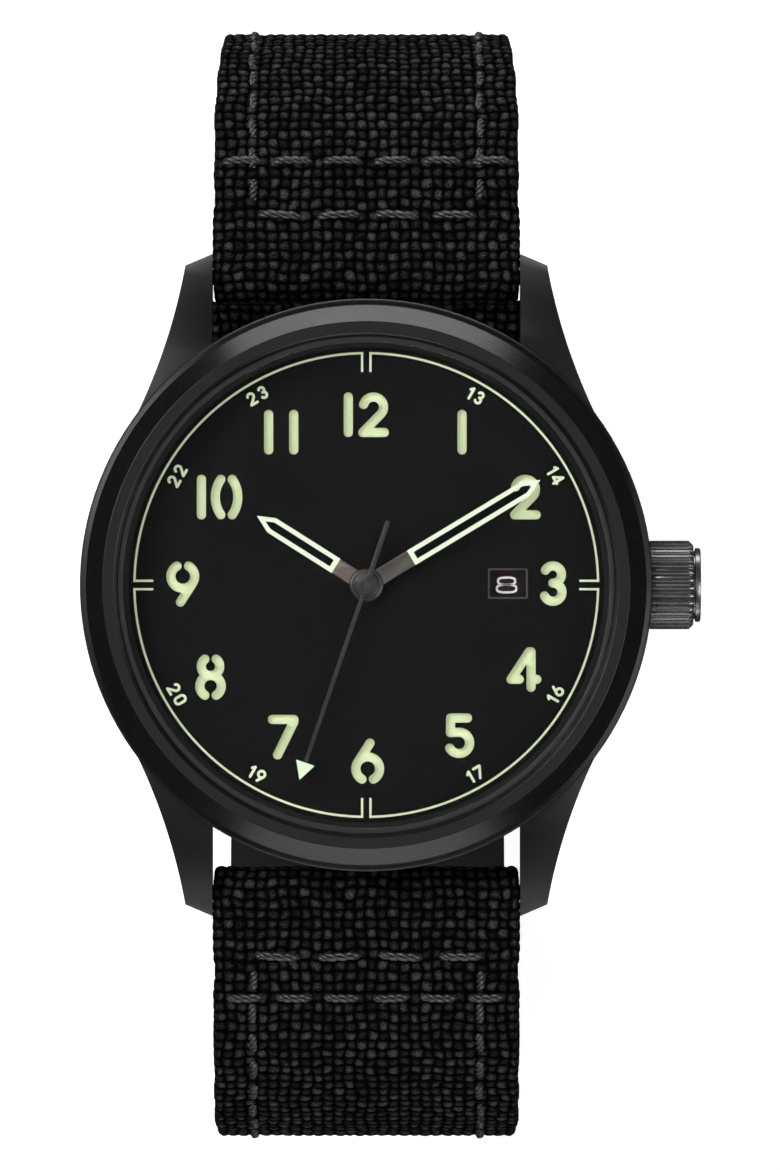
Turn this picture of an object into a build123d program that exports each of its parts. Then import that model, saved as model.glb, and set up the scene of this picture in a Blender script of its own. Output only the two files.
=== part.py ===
"""Field watch with a black steel case, a sandwich dial, a quartz movement and a canvas strap.

Millimetres. +Z points out of the dial, +Y to 12 o'clock and +X to the crown.
The origin is the centre of the case back's outer face.
"""
from build123d import *
import os
from math import atan2, ceil, cos, degrees, hypot, radians, sin

# General
RUNNING_GAP = 0.04
OVERRUN = 2.0
BASE = (Align.CENTER, Align.CENTER, Align.MIN)

# Case
CASE_RADIUS = 20.5
CASE_UNDERSIDE = 0.5
CASE_FLANK_LOW = 3.0
CASE_FLANK_HIGH = 6.9
CASE_TOP = 7.2
CASE_TOP_EDGE = 0.1
CASE_FOOT_RADIUS = CASE_RADIUS - 1.6
FLANK_RADIUS_AT_STRAP = CASE_RADIUS - 0.8
FLANK_CUT_TOP = 6.2
THREAD_RADIUS = CASE_RADIUS - 5.2
BACK_SEAT_RADIUS = CASE_RADIUS - 4.55
GASKET_RECESS_TOP = 1.4
RING_BORE = CASE_RADIUS - 3.45
RING_LEDGE = 2.3
DIAL_LEDGE = 5.65
DIAL_BORE = CASE_RADIUS - 2.75
BEZEL_SEAT = 6.4
BEZEL_SEAT_RADIUS = CASE_RADIUS - 2.0

# Lugs
BAR_Y = CASE_RADIUS + 1.5
BAR_HEIGHT = 1.75
LUG_GAP = 22.1
LUG_TIP_REACH = BAR_Y + 1.8
LUG_TIP_WIDTH = 1.95
LUG_TIP_SLOPE = 0.85
LUG_WAIST_X = LUG_GAP / 2 + 4.25
LUG_WAIST_Y = CASE_RADIUS - 5.75
LUG_ROOT_ANGLE = 21.6
LUG_KNEE_Y = BAR_Y - 2.4
LUG_KNEE_HEIGHT = 5.45
LUG_TIP_TOP = 2.9
LUG_TIP_BOTTOM = 0.7
LUG_SOLE = 0.15
LUG_SOLE_Y = BAR_Y + 0.9
LUG_INNER_Y = CASE_RADIUS - 8.5

# Spring bars
BAR_RADIUS = 0.75
BAR_BORE = 0.5
BAR_END_GAP = 0.3
TIP_RADIUS = 0.46
TIP_HOLE_RADIUS = 0.5
TIP_IN_LUG = 1.0
TIP_LENGTH = 4.2

# Bezel and crystal
BEZEL_RADIUS = CASE_RADIUS - 0.43
BEZEL_RIM_HEIGHT = 0.35
BEZEL_SLOPE_TOP_RADIUS = CASE_RADIUS - 1.66
BEZEL_TOP = 9.0
BEZEL_FLAT_INNER_RADIUS = CASE_RADIUS - 2.43
BEZEL_LIP_RADIUS = CASE_RADIUS - 2.75
BEZEL_LIP_DROP = 0.22
CRYSTAL_RADIUS = BEZEL_LIP_RADIUS - 0.35
CRYSTAL_BOTTOM = 7.35
CRYSTAL_TOP = 9.15
CRYSTAL_CHAMFER = 0.1
GASKET_BOTTOM = 7.5
GASKET_TOP = 8.7

# Inner flange
FLANGE_OUTER_RADIUS = DIAL_BORE - 0.05
FLANGE_LOW_RADIUS = CASE_RADIUS - 3.5
FLANGE_HIGH_RADIUS = CASE_RADIUS - 3.2

# Case back
BACK_RADIUS = BACK_SEAT_RADIUS - 0.05
BACK_FLANGE_TOP = 1.0
BACK_SKIRT_TOP = 2.25
BACK_SKIRT_RADIUS = THREAD_RADIUS - 0.05
BACK_SKIRT_WALL = 1.25
BACK_EDGE_CHAMFER = 0.3
NOTCH_COUNT = 6
NOTCH_WIDTH = 2.4
NOTCH_DEPTH = 0.9
NOTCH_HEIGHT = 0.55
BACK_RING_RADIUS = 12.6
BACK_RING_WIDTH = 0.35
BACK_RING_DEPTH = 0.12
BACK_GASKET_INNER = THREAD_RADIUS + 0.02
BACK_GASKET_OUTER = BACK_RADIUS - 0.07

# Dial
DIAL_RADIUS = DIAL_BORE - 0.1
DIAL_THICKNESS = 0.35
DIAL_TOP = DIAL_LEDGE + DIAL_THICKNESS
LUME_DISC_RADIUS = RING_BORE - 0.15
LUME_DISC_THICKNESS = 0.25
HAND_HOLE_RADIUS = 0.9
PRINT_THICKNESS = 0.03
TRACK_RADIUS = FLANGE_LOW_RADIUS - 0.31
TRACK_LINE = 0.16
TRACK_TICK_LENGTH = 1.35
TRACK_TICK_SPACING = 0.6

# Hour numerals, cut through the dial
NUMERAL_HEIGHT = 3.2
NUMERAL_STROKE = 0.66
NUMERAL_SPACING = 1.8
NUMERAL_RADIUS = 0.75 * FLANGE_LOW_RADIUS
# Where the numerals' middles stand, as shares of their radius.
NUMERAL_PLACE_SHARES = {
    "12": (0, 0.957), "1": (0.538, 0.859), "2": (0.894, 0.494), "3": (1.051, 0.008), "4": (0.886, -0.475),
    "5": (0.525, -0.847), "6": (0.008, -0.988), "7": (-0.467, -0.855), "8": (-0.875, -0.518),
    "9": (-1.031, 0.004), "10": (-0.824, 0.494), "11": (-0.478, 0.859),
}

# Small 24-hour numerals, printed
SMALL_HEIGHT = 0.98
SMALL_STROKE = 0.19
SMALL_SPACING = 0.9
SMALL_ONE_SAVING = 0.26
SMALL_RADIUS = TRACK_RADIUS - 1.04

# Date window and date ring
WINDOW_X = 10.15
WINDOW_Y = 0.1
WINDOW_LENGTH = 2.62
WINDOW_HEIGHT = 1.94
WINDOW_RIM = 0.12
WINDOW_CORNER = 0.12
DATE_RING_OUTER = 12.0
DATE_RING_INNER = 8.75
DATE_TOOTH_DEPTH = 0.8
DATE_TOOTH_WIDTH = 0.6
DATE_COUNT = 31
DATE_RING_BOTTOM = 5.0
DATE_RING_THICKNESS = 0.2
CALENDAR_PLATE_RADIUS = 8.5
CALENDAR_PLATE_BOTTOM = 5.24
CALENDAR_PLATE_THICKNESS = 0.1

# Hands
HOUR_ANGLE = 302.3
MINUTE_ANGLE = 58.9
SECONDS_ANGLE = 198.9
HOUR_HAND_LENGTH = FLANGE_LOW_RADIUS - 7.74
MINUTE_HAND_LENGTH = FLANGE_LOW_RADIUS - 2.44
HAND_WIDTH = 1.18
HAND_NECK_WIDTH = 0.95
HAND_POINT = 1.24
HAND_TAIL = 1.1
HOUR_LUME_START = 2.6
MINUTE_LUME_START = 3.8
LUME_BORDER = 0.27
LUME_INSET = 0.04
LUME_THICKNESS = 0.05
HAND_HUB_RADIUS = 1.2
HOUR_HAND_BOTTOM = 6.42
MINUTE_HAND_BOTTOM = 6.72
HAND_THICKNESS = 0.14
SECONDS_HAND_BOTTOM = 7.02
SECONDS_HAND_THICKNESS = 0.1
SECONDS_HAND_LENGTH = FLANGE_LOW_RADIUS - 2.26
SECONDS_TAIL = 4.83
SECONDS_WIDTH = 0.27
SECONDS_TAIL_WIDTH = 0.32
SECONDS_HUB_RADIUS = 0.75
TRIANGLE_BASE = 1.4
TRIANGLE_HEIGHT = 1.3
TRIANGLE_THICKNESS = 0.06

# Crown and stem
STEM_HEIGHT = 3.4
CROWN_RADIUS = 3.18
CROWN_CASE_GAP = 0.12
CROWN_LENGTH = 2.85
CROWN_FLUTES = 36
CROWN_FLUTE_RADIUS = 0.2
CROWN_EDGE = 0.35
CROWN_NECK_RADIUS = 2.45
CROWN_NECK_LENGTH = 0.12
CROWN_CAP_RADIUS = 2.65
CROWN_CAP_LENGTH = 0.4
CROWN_CAP_EDGE = 0.12
CROWN_BORE = 1.9
CROWN_BORE_DEPTH = 2.3
TUBE_RADIUS = 1.5
TUBE_BORE = 0.7
TUBE_INNER_X = RING_BORE + 0.15
TUBE_OUTER_X = CASE_RADIUS + 2.0
CROWN_GASKET_X = CASE_RADIUS + 0.35
CROWN_GASKET_LENGTH = 0.5
STEM_RADIUS = 0.45
STEM_INNER_X = 7.6
STEM_IN_CROWN = 0.35
CLUTCH_RADIUS = 0.8
CLUTCH_X = 9.0
CLUTCH_LENGTH = 1.1
CLUTCH_TEETH = 10
CLUTCH_TOOTH_DEPTH = 0.16
CLUTCH_SLIDE = 0.6
CLUTCH_POCKET_GAP = 0.12

# Movement carcass
MOVEMENT_RADIUS = 13.0
MAIN_PLATE_BOTTOM = 3.95
MAIN_PLATE_TOP = 4.6
MAIN_RIM_TOP = 5.2
MAIN_RIM_INNER = 12.1
DATE_SHELF_INNER = 9.6
DATE_SHELF_TOP = 4.97
RING_INNER_RADIUS = 13.05
RING_LEDGE_RADIUS = 12.4
RING_TOP = 5.35
RING_STEM_SLOT = 1.9
BRIDGE_BOTTOM = 2.0
BRIDGE_THICKNESS = 0.3
BRIDGE_RADIUS = 12.1
PILLAR_RADIUS = 0.95
PILLAR_REACH = 10.6
PILLAR_ANGLES = (38.0, 172.0, 222.0, 314.0)
SCREW_RADIUS = 0.3
SCREW_HEAD_RADIUS = 0.75
SCREW_HEAD_HEIGHT = 0.4
SCREW_SLOT_WIDTH = 0.16
SCREW_SLOT_DEPTH = 0.16
SCREW_LENGTH = 1.7
PIVOT_RADIUS = 0.12
PIVOT_GAP = 0.03

# Battery
BATTERY_RADIUS = 3.4
BATTERY_HEIGHT = 2.15
BATTERY_BOTTOM = 1.7
BATTERY_Y = -8.1
BATTERY_CAP_RADIUS = 2.9
BATTERY_CAP_HEIGHT = 0.25
BATTERY_POCKET_GAP = 0.3
CLAMP_THICKNESS = 0.18
CLAMP_WIDTH = 1.6
CLAMP_LENGTH = 9.6
CLAMP_LIFT = 0.04

# Coil and stator
COIL_X = -2.4
COIL_Y = 8.9
COIL_LENGTH = 7.6
COIL_WIDTH = 1.9
COIL_HEIGHT = 1.2
CORE_LENGTH = 10.6
CORE_WIDTH = 1.1
CORE_THICKNESS = 0.2
STATOR_BOTTOM = 3.15
STATOR_THICKNESS = 0.2
STATOR_ARM_WIDTH = 1.5
STATOR_HOLE = 0.95
STATOR_EYE_RADIUS = 1.7
ROTOR_MAGNET_RADIUS = 0.75
ROTOR_MAGNET_HEIGHT = 0.6

# Electronics
BOARD_THICKNESS = 0.3
BOARD_INNER = 8.2
BOARD_OUTER = 12.2
BOARD_START = 326.0
BOARD_SWEEP = 20.0
QUARTZ_RADIUS = 0.65
QUARTZ_LENGTH = 4.2
QUARTZ_REACH = 9.2
QUARTZ_ANGLE = 343.0

# Going train: modules, teeth and heights
TRAIN_MODULE = 0.1
FINE_MODULE = 0.08
CENTRE_TEETH = 64
FOURTH_TEETH = 60
THIRD_TEETH = 60
FIFTH_TEETH = 48
SMALL_PINION_TEETH = 8
FIFTH_PINION_TEETH = 12
THIRD_ANGLE = 200.0
FIFTH_ANGLE = 60.0
WHEEL_THICKNESS = 0.15
CENTRE_WHEEL_BOTTOM = 3.6
THIRD_WHEEL_BOTTOM = 3.2
FOURTH_WHEEL_BOTTOM = 2.9
FIFTH_WHEEL_BOTTOM = 2.45
ROTOR_PINION_BOTTOM = 2.36
ROTOR_PINION_HEIGHT = 0.34
TRAIN_PIVOT_TOP = 4.3
TOOTH_SHARE = 0.4
TOOTH_TIP_SHARE = 0.45
ADDENDUM_SHARE = 0.75
DEDENDUM_SHARE = 1.15

# Motion work under the dial
CANNON_TEETH = 12
MINUTE_WHEEL_TEETH = 36
MINUTE_PINION_TEETH = 10
HOUR_WHEEL_TEETH = 40
MINUTE_WHEEL_ANGLE = 120.0
CANNON_TEETH_BOTTOM = 4.66
CANNON_TEETH_HEIGHT = 0.2
MINUTE_WHEEL_THICKNESS = 0.12
MINUTE_PINION_TOP = 5.1
HOUR_WHEEL_BOTTOM = 4.94
HOUR_WHEEL_THICKNESS = 0.13
FOURTH_ARBOR_RADIUS = 0.2
CENTRE_TUBE_BORE = 0.24
CENTRE_TUBE_RADIUS = 0.34
CANNON_BORE = 0.37
CANNON_RADIUS = 0.5
HOUR_TUBE_BORE = 0.54
HOUR_TUBE_RADIUS = 0.72
CENTRE_TUBE_TOP = 5.6

# Strap
STRAP_THICKNESS = 2.3
STRAP_WIDTH = LUG_GAP - 0.2
STRAP_FAR_WIDTH = STRAP_WIDTH - 1.3
STRAP_TAPER_TOP = -8.0
STRAP_TAPER_BOTTOM = -57.0
STRAP_LEAD = 5.5
STRAP_DROOP = 12.0
STRAP_LEAN = 12.0
FOLD_RADIUS = 1.75
FOLD_BORE = 0.8
SHOULDER_BEND = 14.7
SHORT_DROP = 3.0
SHORT_BEND = 17.0
SHORT_FLAT = 18.0
LONG_DROP = 23.0
LONG_BEND = 19.0
LONG_FLAT = 38.0
STRAP_HOLE_RADIUS = 1.0
STRAP_HOLE_PITCH = 6.0
STRAP_HOLE_COUNT = 7
STRAP_HOLE_FROM_TIP = 17.0
STRAP_TIP_RADIUS = 7.0

# Keepers
KEEPER_LENGTH = 4.6
KEEPER_WALL = 1.1
KEEPER_SIDE_GAP = 0.3
KEEPER_SNUG_GAP = 0.3
KEEPER_LOOSE_GAP = 2.5
FIXED_KEEPER_BACK = 7.6
FREE_KEEPER_BACK = 15.0

# Buckle
BUCKLE_INNER_WIDTH = STRAP_WIDTH + 0.5
BUCKLE_WALL = 2.2
BUCKLE_THICKNESS = 2.2
BUCKLE_FRONT = 10.5
BUCKLE_BACK = 1.3
BUCKLE_CORNER = 2.0
BUCKLE_BAR_SEAT = 1.1
TONGUE_WIDTH = 2.4
TONGUE_THICKNESS = 1.1
TONGUE_EYE = 1.6
TONGUE_SLOT_GAP = 0.35
TONGUE_OVERHANG = 0.3
TONGUE_SEAT_DEPTH = 0.55


def disc(radius, bottom, top, bore=0.0, at=(0.0, 0.0)):
    """A round plate, or a ring with a bore, between two heights."""
    plate = Cylinder(radius, top - bottom, align=BASE)
    if bore:
        plate -= Cylinder(bore, top - bottom, align=BASE)
    return Pos(at[0], at[1], bottom) * plate


def turned(points):
    """A solid of revolution about Z from a closed outline of (radius, height) points."""
    outline = make_face(Plane.XZ * Polyline(*points, close=True))
    return revolve(outline, Axis.Z)


def rod(radius, start_x, end_x, height=STEM_HEIGHT, bore=0.0):
    """A round bar, or a tube with a bore, along X at a height."""
    bar = Cylinder(radius, end_x - start_x, align=BASE)
    if bore:
        bar -= Cylinder(bore, end_x - start_x, align=BASE)
    return Pos(start_x, 0, height) * Rot(0, 90, 0) * bar


def polar(reach, angle):
    """The (x, y) place at a reach from the centre, with the angle counted from +X."""
    return (reach * cos(radians(angle)), reach * sin(radians(angle)))


def clock(reach, angle):
    """The (x, y) place at a reach from the centre, with the angle counted clockwise from 12."""
    return polar(reach, 90 - angle)


def mirrored_x(shape):
    return mirror(shape, about=Plane.YZ)


def mirrored_y(shape):
    return mirror(shape, about=Plane.XZ)


def lug():
    """The lug at 1 o'clock: its plan outline cut by its side outline."""
    inner_x = LUG_GAP / 2
    root = polar(CASE_RADIUS, LUG_ROOT_ANGLE)
    tip_outer = (inner_x + LUG_TIP_WIDTH, LUG_TIP_REACH - LUG_TIP_SLOPE)
    edges = Curve() + [
        Line((inner_x, LUG_INNER_Y), (inner_x, LUG_TIP_REACH)),
        Line((inner_x, LUG_TIP_REACH), tip_outer),
        ThreePointArc(tip_outer, (LUG_WAIST_X, LUG_WAIST_Y), root),
        Line(root, (inner_x, LUG_INNER_Y)),
    ]
    plan = extrude(make_face(edges), CASE_TOP)
    root_y = LUG_INNER_Y / 2
    side = Curve() + [
        Polyline((LUG_INNER_Y, CASE_FLANK_HIGH), (root_y, CASE_FLANK_HIGH), (root_y, CASE_UNDERSIDE),
                 (LUG_INNER_Y, CASE_UNDERSIDE), (LUG_SOLE_Y, LUG_SOLE), (LUG_TIP_REACH, LUG_TIP_BOTTOM),
                 (LUG_TIP_REACH, LUG_TIP_TOP)),
        ThreePointArc((LUG_TIP_REACH, LUG_TIP_TOP), (LUG_KNEE_Y, LUG_KNEE_HEIGHT),
                      (LUG_INNER_Y, CASE_FLANK_HIGH)),
    ]
    wall = extrude(make_face(Plane.YZ * side), CASE_RADIUS)
    return plan & wall


def mid_case():
    """Case middle with its lugs, bores, ledges and the holes for the crown tube and spring bars."""
    body = turned([
        (0, CASE_UNDERSIDE),
        (CASE_FOOT_RADIUS, CASE_UNDERSIDE),
        (CASE_RADIUS, CASE_FLANK_LOW),
        (CASE_RADIUS, CASE_TOP - CASE_TOP_EDGE),
        (CASE_RADIUS - CASE_TOP_EDGE, CASE_TOP),
        (0, CASE_TOP),
    ])
    strap_room = disc(CASE_RADIUS + OVERRUN, 0, FLANK_CUT_TOP, bore=FLANK_RADIUS_AT_STRAP)
    between_lugs = Pos(0, 0, FLANK_CUT_TOP / 2) * Box(LUG_GAP, 2 * LUG_TIP_REACH, FLANK_CUT_TOP)
    body -= strap_room & between_lugs
    one = lug()
    body += [one, mirrored_x(one), mirrored_y(one), mirrored_x(mirrored_y(one))]
    body -= turned([
        (0, 0),
        (BACK_SEAT_RADIUS, 0),
        (BACK_SEAT_RADIUS, BACK_FLANGE_TOP),
        (BACK_GASKET_OUTER, BACK_FLANGE_TOP),
        (BACK_GASKET_OUTER, GASKET_RECESS_TOP),
        (THREAD_RADIUS, GASKET_RECESS_TOP),
        (THREAD_RADIUS, RING_LEDGE),
        (RING_BORE, RING_LEDGE),
        (RING_BORE, DIAL_LEDGE),
        (DIAL_BORE, DIAL_LEDGE),
        (DIAL_BORE, BEZEL_SEAT),
        (BEZEL_SEAT_RADIUS, BEZEL_SEAT),
        (BEZEL_SEAT_RADIUS, CASE_TOP + OVERRUN),
        (0, CASE_TOP + OVERRUN),
    ])
    body -= rod(TUBE_RADIUS, RING_BORE - OVERRUN, CASE_RADIUS + OVERRUN)
    hole_reach = LUG_GAP / 2 + TIP_IN_LUG
    hole = rod(TIP_HOLE_RADIUS, -hole_reach, hole_reach, BAR_HEIGHT)
    body -= [Pos(0, BAR_Y, 0) * hole, Pos(0, -BAR_Y, 0) * hole]
    return body


def bezel():
    """Bezel with a sloping face, a narrow flat top and a skirt that presses into the case."""
    return turned([
        (BEZEL_LIP_RADIUS, BEZEL_SEAT),
        (BEZEL_SEAT_RADIUS, BEZEL_SEAT),
        (BEZEL_SEAT_RADIUS, CASE_TOP),
        (BEZEL_RADIUS, CASE_TOP),
        (BEZEL_RADIUS, CASE_TOP + BEZEL_RIM_HEIGHT),
        (BEZEL_SLOPE_TOP_RADIUS, BEZEL_TOP),
        (BEZEL_FLAT_INNER_RADIUS, BEZEL_TOP),
        (BEZEL_LIP_RADIUS, BEZEL_TOP - BEZEL_LIP_DROP),
    ])


def crystal():
    """Flat mineral crystal with a polished edge chamfer."""
    return turned([
        (0, CRYSTAL_BOTTOM),
        (CRYSTAL_RADIUS, CRYSTAL_BOTTOM),
        (CRYSTAL_RADIUS, CRYSTAL_TOP - CRYSTAL_CHAMFER),
        (CRYSTAL_RADIUS - CRYSTAL_CHAMFER, CRYSTAL_TOP),
        (0, CRYSTAL_TOP),
    ])


def inner_flange():
    """Sloping ring between the dial and the crystal."""
    return turned([
        (FLANGE_LOW_RADIUS, DIAL_TOP),
        (FLANGE_OUTER_RADIUS, DIAL_TOP),
        (FLANGE_OUTER_RADIUS, CRYSTAL_BOTTOM),
        (FLANGE_HIGH_RADIUS, CRYSTAL_BOTTOM),
    ])


def case_back():
    """Screw-in case back with six key notches and a turned ring."""
    back = turned([
        (0, 0),
        (BACK_RADIUS - BACK_EDGE_CHAMFER, 0),
        (BACK_RADIUS, BACK_EDGE_CHAMFER),
        (BACK_RADIUS, BACK_FLANGE_TOP),
        (BACK_SKIRT_RADIUS, BACK_FLANGE_TOP),
        (BACK_SKIRT_RADIUS, BACK_SKIRT_TOP),
        (BACK_SKIRT_RADIUS - BACK_SKIRT_WALL, BACK_SKIRT_TOP),
        (BACK_SKIRT_RADIUS - BACK_SKIRT_WALL, BACK_FLANGE_TOP),
        (0, BACK_FLANGE_TOP),
    ])
    notch = Pos(BACK_RADIUS, 0, 0) * Box(2 * NOTCH_DEPTH, NOTCH_WIDTH, 2 * NOTCH_HEIGHT)
    back -= [Rot(0, 0, index * 360 / NOTCH_COUNT) * notch for index in range(NOTCH_COUNT)]
    back -= disc(BACK_RING_RADIUS, 0, BACK_RING_DEPTH, bore=BACK_RING_RADIUS - BACK_RING_WIDTH)
    return back


# Pen strokes of the numerals, in half heights of the pen's path about each numeral's middle.
# Four numbers are a line from x, y to x, y. Five are an arc: centre x, y, radius and its two angles.
STENCIL_STROKE_SHARES = {
    "0": [(1.099, 0, 1.736, 144.8, 215.2), (-1.099, 0, 1.736, 35.2, -35.2)],
    "1": [(0, 1, 0, -1)],
    "2": [(0, 0.43, 0.57, 165, -44.4), (0.407, 0.031, -0.6, -1), (-0.6, -1, 0.61, -1)],
    "3": [(0, 0.515, 0.485, 150, -90), (0, -0.485, 0.515, 90, -155)],
    "4": [(0.405, 1, 0.405, -1), (0.3, 1, -0.72, -0.55), (-0.72, -0.55, -0.26, -0.55), (0.405, -0.55, 0.73, -0.55)],
    "5": [(-0.48, 1, 0.465, 1), (-0.48, 1, -0.49, 0.18), (-0.49, 0.18, -0.114, 0.191), (-0.01, -0.4, 0.6, 100, -150)],
    "6": [(0.13, 1, -0.569, -0.091), (0, -0.445, 0.67, -61, 241)],
    "7": [(-0.61, 1, 0.6, 1), (0.6, 1, 0.6, 0.88), (0.6, 0.88, -0.32, -1)],
    "8": [(0, 0.61, 0.52, 128, 412), (0, -0.503, 0.606, -58, 238)],
    "9": [(-0.13, -1, 0.569, 0.091), (0, 0.445, 0.67, 119, 421)],
}
# The small printed numerals have no bridges, and a flag on the 1.
PRINTED_STROKE_SHARES = STENCIL_STROKE_SHARES | {
    "0": [(0, 0.4, 0.6, 0, 180), (-0.6, 0.4, -0.6, -0.4), (0, -0.4, 0.6, 180, 360), (0.6, -0.4, 0.6, 0.4)],
    "1": [(0, 1, 0, -1), (0, 1, -0.45, 0.6)],
    "4": [(0.35, 1, 0.35, -1), (0.3, 1, -0.65, -0.5), (-0.65, -0.5, 0.7, -0.5)],
    "6": [(0.2, 1, -0.502, -0.071), (0, -0.4, 0.6, 0, 360)],
    "9": [(-0.2, -1, 0.502, 0.071), (0, 0.4, 0.6, 0, 360)],
}
LONGEST_PEN_ARC = 120.0


def pen_line(start_x, start_y, end_x, end_y, width):
    """A straight stroke with round ends."""
    across, up = end_x - start_x, end_y - start_y
    middle = Pos((start_x + end_x) / 2, (start_y + end_y) / 2)
    return middle * Rot(0, 0, degrees(atan2(up, across))) * SlotCenterToCenter(hypot(across, up), width)


def pen_arc(centre_x, centre_y, radius, start, end, width):
    """A curved stroke with round ends."""
    parts = ceil(abs(end - start) / LONGEST_PEN_ARC)
    sweep = (end - start) / parts
    stroke = Sketch()
    for part in range(parts):
        stroke += SlotArc(CenterArc((centre_x, centre_y), radius, start + part * sweep, sweep), width)
    return stroke


def digit(figure, strokes, height, pen):
    """One numeral as a flat sketch about its middle."""
    unit = (height - pen) / 2
    shape = Sketch()
    for stroke in strokes[figure]:
        if len(stroke) == 4:
            shape += pen_line(*(share * unit for share in stroke), pen)
        else:
            *place, start, end = stroke
            shape += pen_arc(*(share * unit for share in place), start, end, pen)
    return shape


def number(figures, strokes, height, pen, spacing, one_saving=0.0):
    """A row of numerals, centred on the origin."""
    row = Sketch()
    left = 0.0
    for figure in figures:
        row += Pos(left, 0) * digit(figure, strokes, height, pen)
        left += spacing - (one_saving if figure == "1" else 0.0)
    return Pos(-row.bounding_box().center().X, 0) * row


def hour_numerals():
    """The twelve upright hour numerals, as a flat sketch."""
    face = Sketch()
    for figures, (across, up) in NUMERAL_PLACE_SHARES.items():
        face += Pos(across * NUMERAL_RADIUS, up * NUMERAL_RADIUS) * number(
            figures, STENCIL_STROKE_SHARES, NUMERAL_HEIGHT, NUMERAL_STROKE, NUMERAL_SPACING)
    return face


def window(extra=0.0):
    """The date window's outline, grown by an extra margin."""
    return Pos(WINDOW_X, WINDOW_Y) * RectangleRounded(
        WINDOW_LENGTH + 2 * extra, WINDOW_HEIGHT + 2 * extra, WINDOW_CORNER)


def dial_plate():
    """Upper dial of the sandwich: the hour numerals and the date window are cut through it."""
    plate = disc(DIAL_RADIUS, DIAL_LEDGE, DIAL_TOP, bore=HAND_HOLE_RADIUS)
    plate -= Pos(0, 0, DIAL_LEDGE) * extrude(hour_numerals(), DIAL_THICKNESS)
    plate -= Pos(0, 0, DIAL_LEDGE) * extrude(window(WINDOW_RIM), DIAL_THICKNESS)
    return plate


def lume_disc():
    """Lower dial of the sandwich: a luminous disc that shows through the cut numerals."""
    bottom = DIAL_LEDGE - LUME_DISC_THICKNESS
    plate = disc(LUME_DISC_RADIUS, bottom, DIAL_LEDGE, bore=HAND_HOLE_RADIUS)
    return plate - Pos(0, 0, bottom) * extrude(window(WINDOW_RIM), LUME_DISC_THICKNESS)


def date_window_frame():
    """Slim rim that lines the date window through both dials."""
    bottom = DIAL_LEDGE - LUME_DISC_THICKNESS
    rim = window(WINDOW_RIM) - window()
    return Pos(0, 0, bottom) * extrude(rim, DIAL_TOP + PRINT_THICKNESS - bottom)


def dial_print():
    """Printed minute arcs with their end ticks, and the small 24-hour numerals."""
    inner = TRACK_RADIUS - TRACK_LINE
    ring = Circle(TRACK_RADIUS) - Circle(inner)
    half_gap = (TRACK_TICK_SPACING - TRACK_LINE) / 2
    for angle in (0, 90):
        ring -= Rot(0, 0, angle) * Rectangle(2 * half_gap, 2 * TRACK_RADIUS + OVERRUN)
    tick_middle = TRACK_RADIUS - TRACK_TICK_LENGTH / 2 - TRACK_LINE / 2
    for angle in (0, 90, 180, 270):
        for side in (-1, 1):
            place = Pos(side * TRACK_TICK_SPACING / 2, tick_middle)
            ring += Rot(0, 0, angle) * place * Rectangle(TRACK_LINE, TRACK_TICK_LENGTH)
    for hour in (1, 2, 4, 5, 7, 8, 10, 11):
        turn = -hour * 30 if hour in (1, 2, 10, 11) else 180 - hour * 30
        label = number(str(hour + 12), PRINTED_STROKE_SHARES, SMALL_HEIGHT, SMALL_STROKE, SMALL_SPACING,
                       SMALL_ONE_SAVING)
        ring += Pos(*clock(SMALL_RADIUS, hour * 30)) * Rot(0, 0, turn) * label
    return Pos(0, 0, DIAL_TOP) * extrude(ring, PRINT_THICKNESS)


def date_ring():
    """Date ring with one inner tooth for each day."""
    top = DATE_RING_BOTTOM + DATE_RING_THICKNESS
    ring = disc(DATE_RING_OUTER, DATE_RING_BOTTOM, top, bore=DATE_RING_INNER)
    middle = DATE_RING_INNER - DATE_TOOTH_DEPTH / 2 + RUNNING_GAP
    tooth = Pos(middle, 0, (DATE_RING_BOTTOM + top) / 2) * Box(
        DATE_TOOTH_DEPTH + 2 * RUNNING_GAP, DATE_TOOTH_WIDTH, DATE_RING_THICKNESS)
    return ring + [Rot(0, 0, index * 360 / DATE_COUNT) * tooth for index in range(DATE_COUNT)]


def hand_outline(length, width, tail, neck=HAND_NECK_WIDTH):
    """A sword outline that points to 12: parallel sides and a pointed tip."""
    return make_face(Polyline(
        (-neck / 2, -tail), (neck / 2, -tail), (width / 2, HAND_HUB_RADIUS),
        (width / 2, length - HAND_POINT), (0, length), (-width / 2, length - HAND_POINT),
        (-width / 2, HAND_HUB_RADIUS), close=True))


def hand_slot(length, start, width):
    """The outline of the lume field or its open slot inside a hand."""
    point = HAND_POINT * width / HAND_WIDTH
    return make_face(Polyline(
        (-width / 2, start), (width / 2, start), (width / 2, length - point), (0, length),
        (-width / 2, length - point), close=True))


def sword_hand(length, lume_start, bottom, bore, angle):
    """An hour or minute hand with its open slot, turned to its time."""
    inner_width = HAND_WIDTH - 2 * LUME_BORDER
    tip_back = LUME_BORDER * hypot(HAND_POINT, HAND_WIDTH / 2) / (HAND_WIDTH / 2)
    plan = hand_outline(length, HAND_WIDTH, HAND_TAIL) + Circle(HAND_HUB_RADIUS) - Circle(bore)
    plan -= hand_slot(length - tip_back, lume_start + LUME_BORDER, inner_width)
    return Rot(0, 0, -angle) * Pos(0, 0, bottom) * extrude(plan, HAND_THICKNESS)


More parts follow.
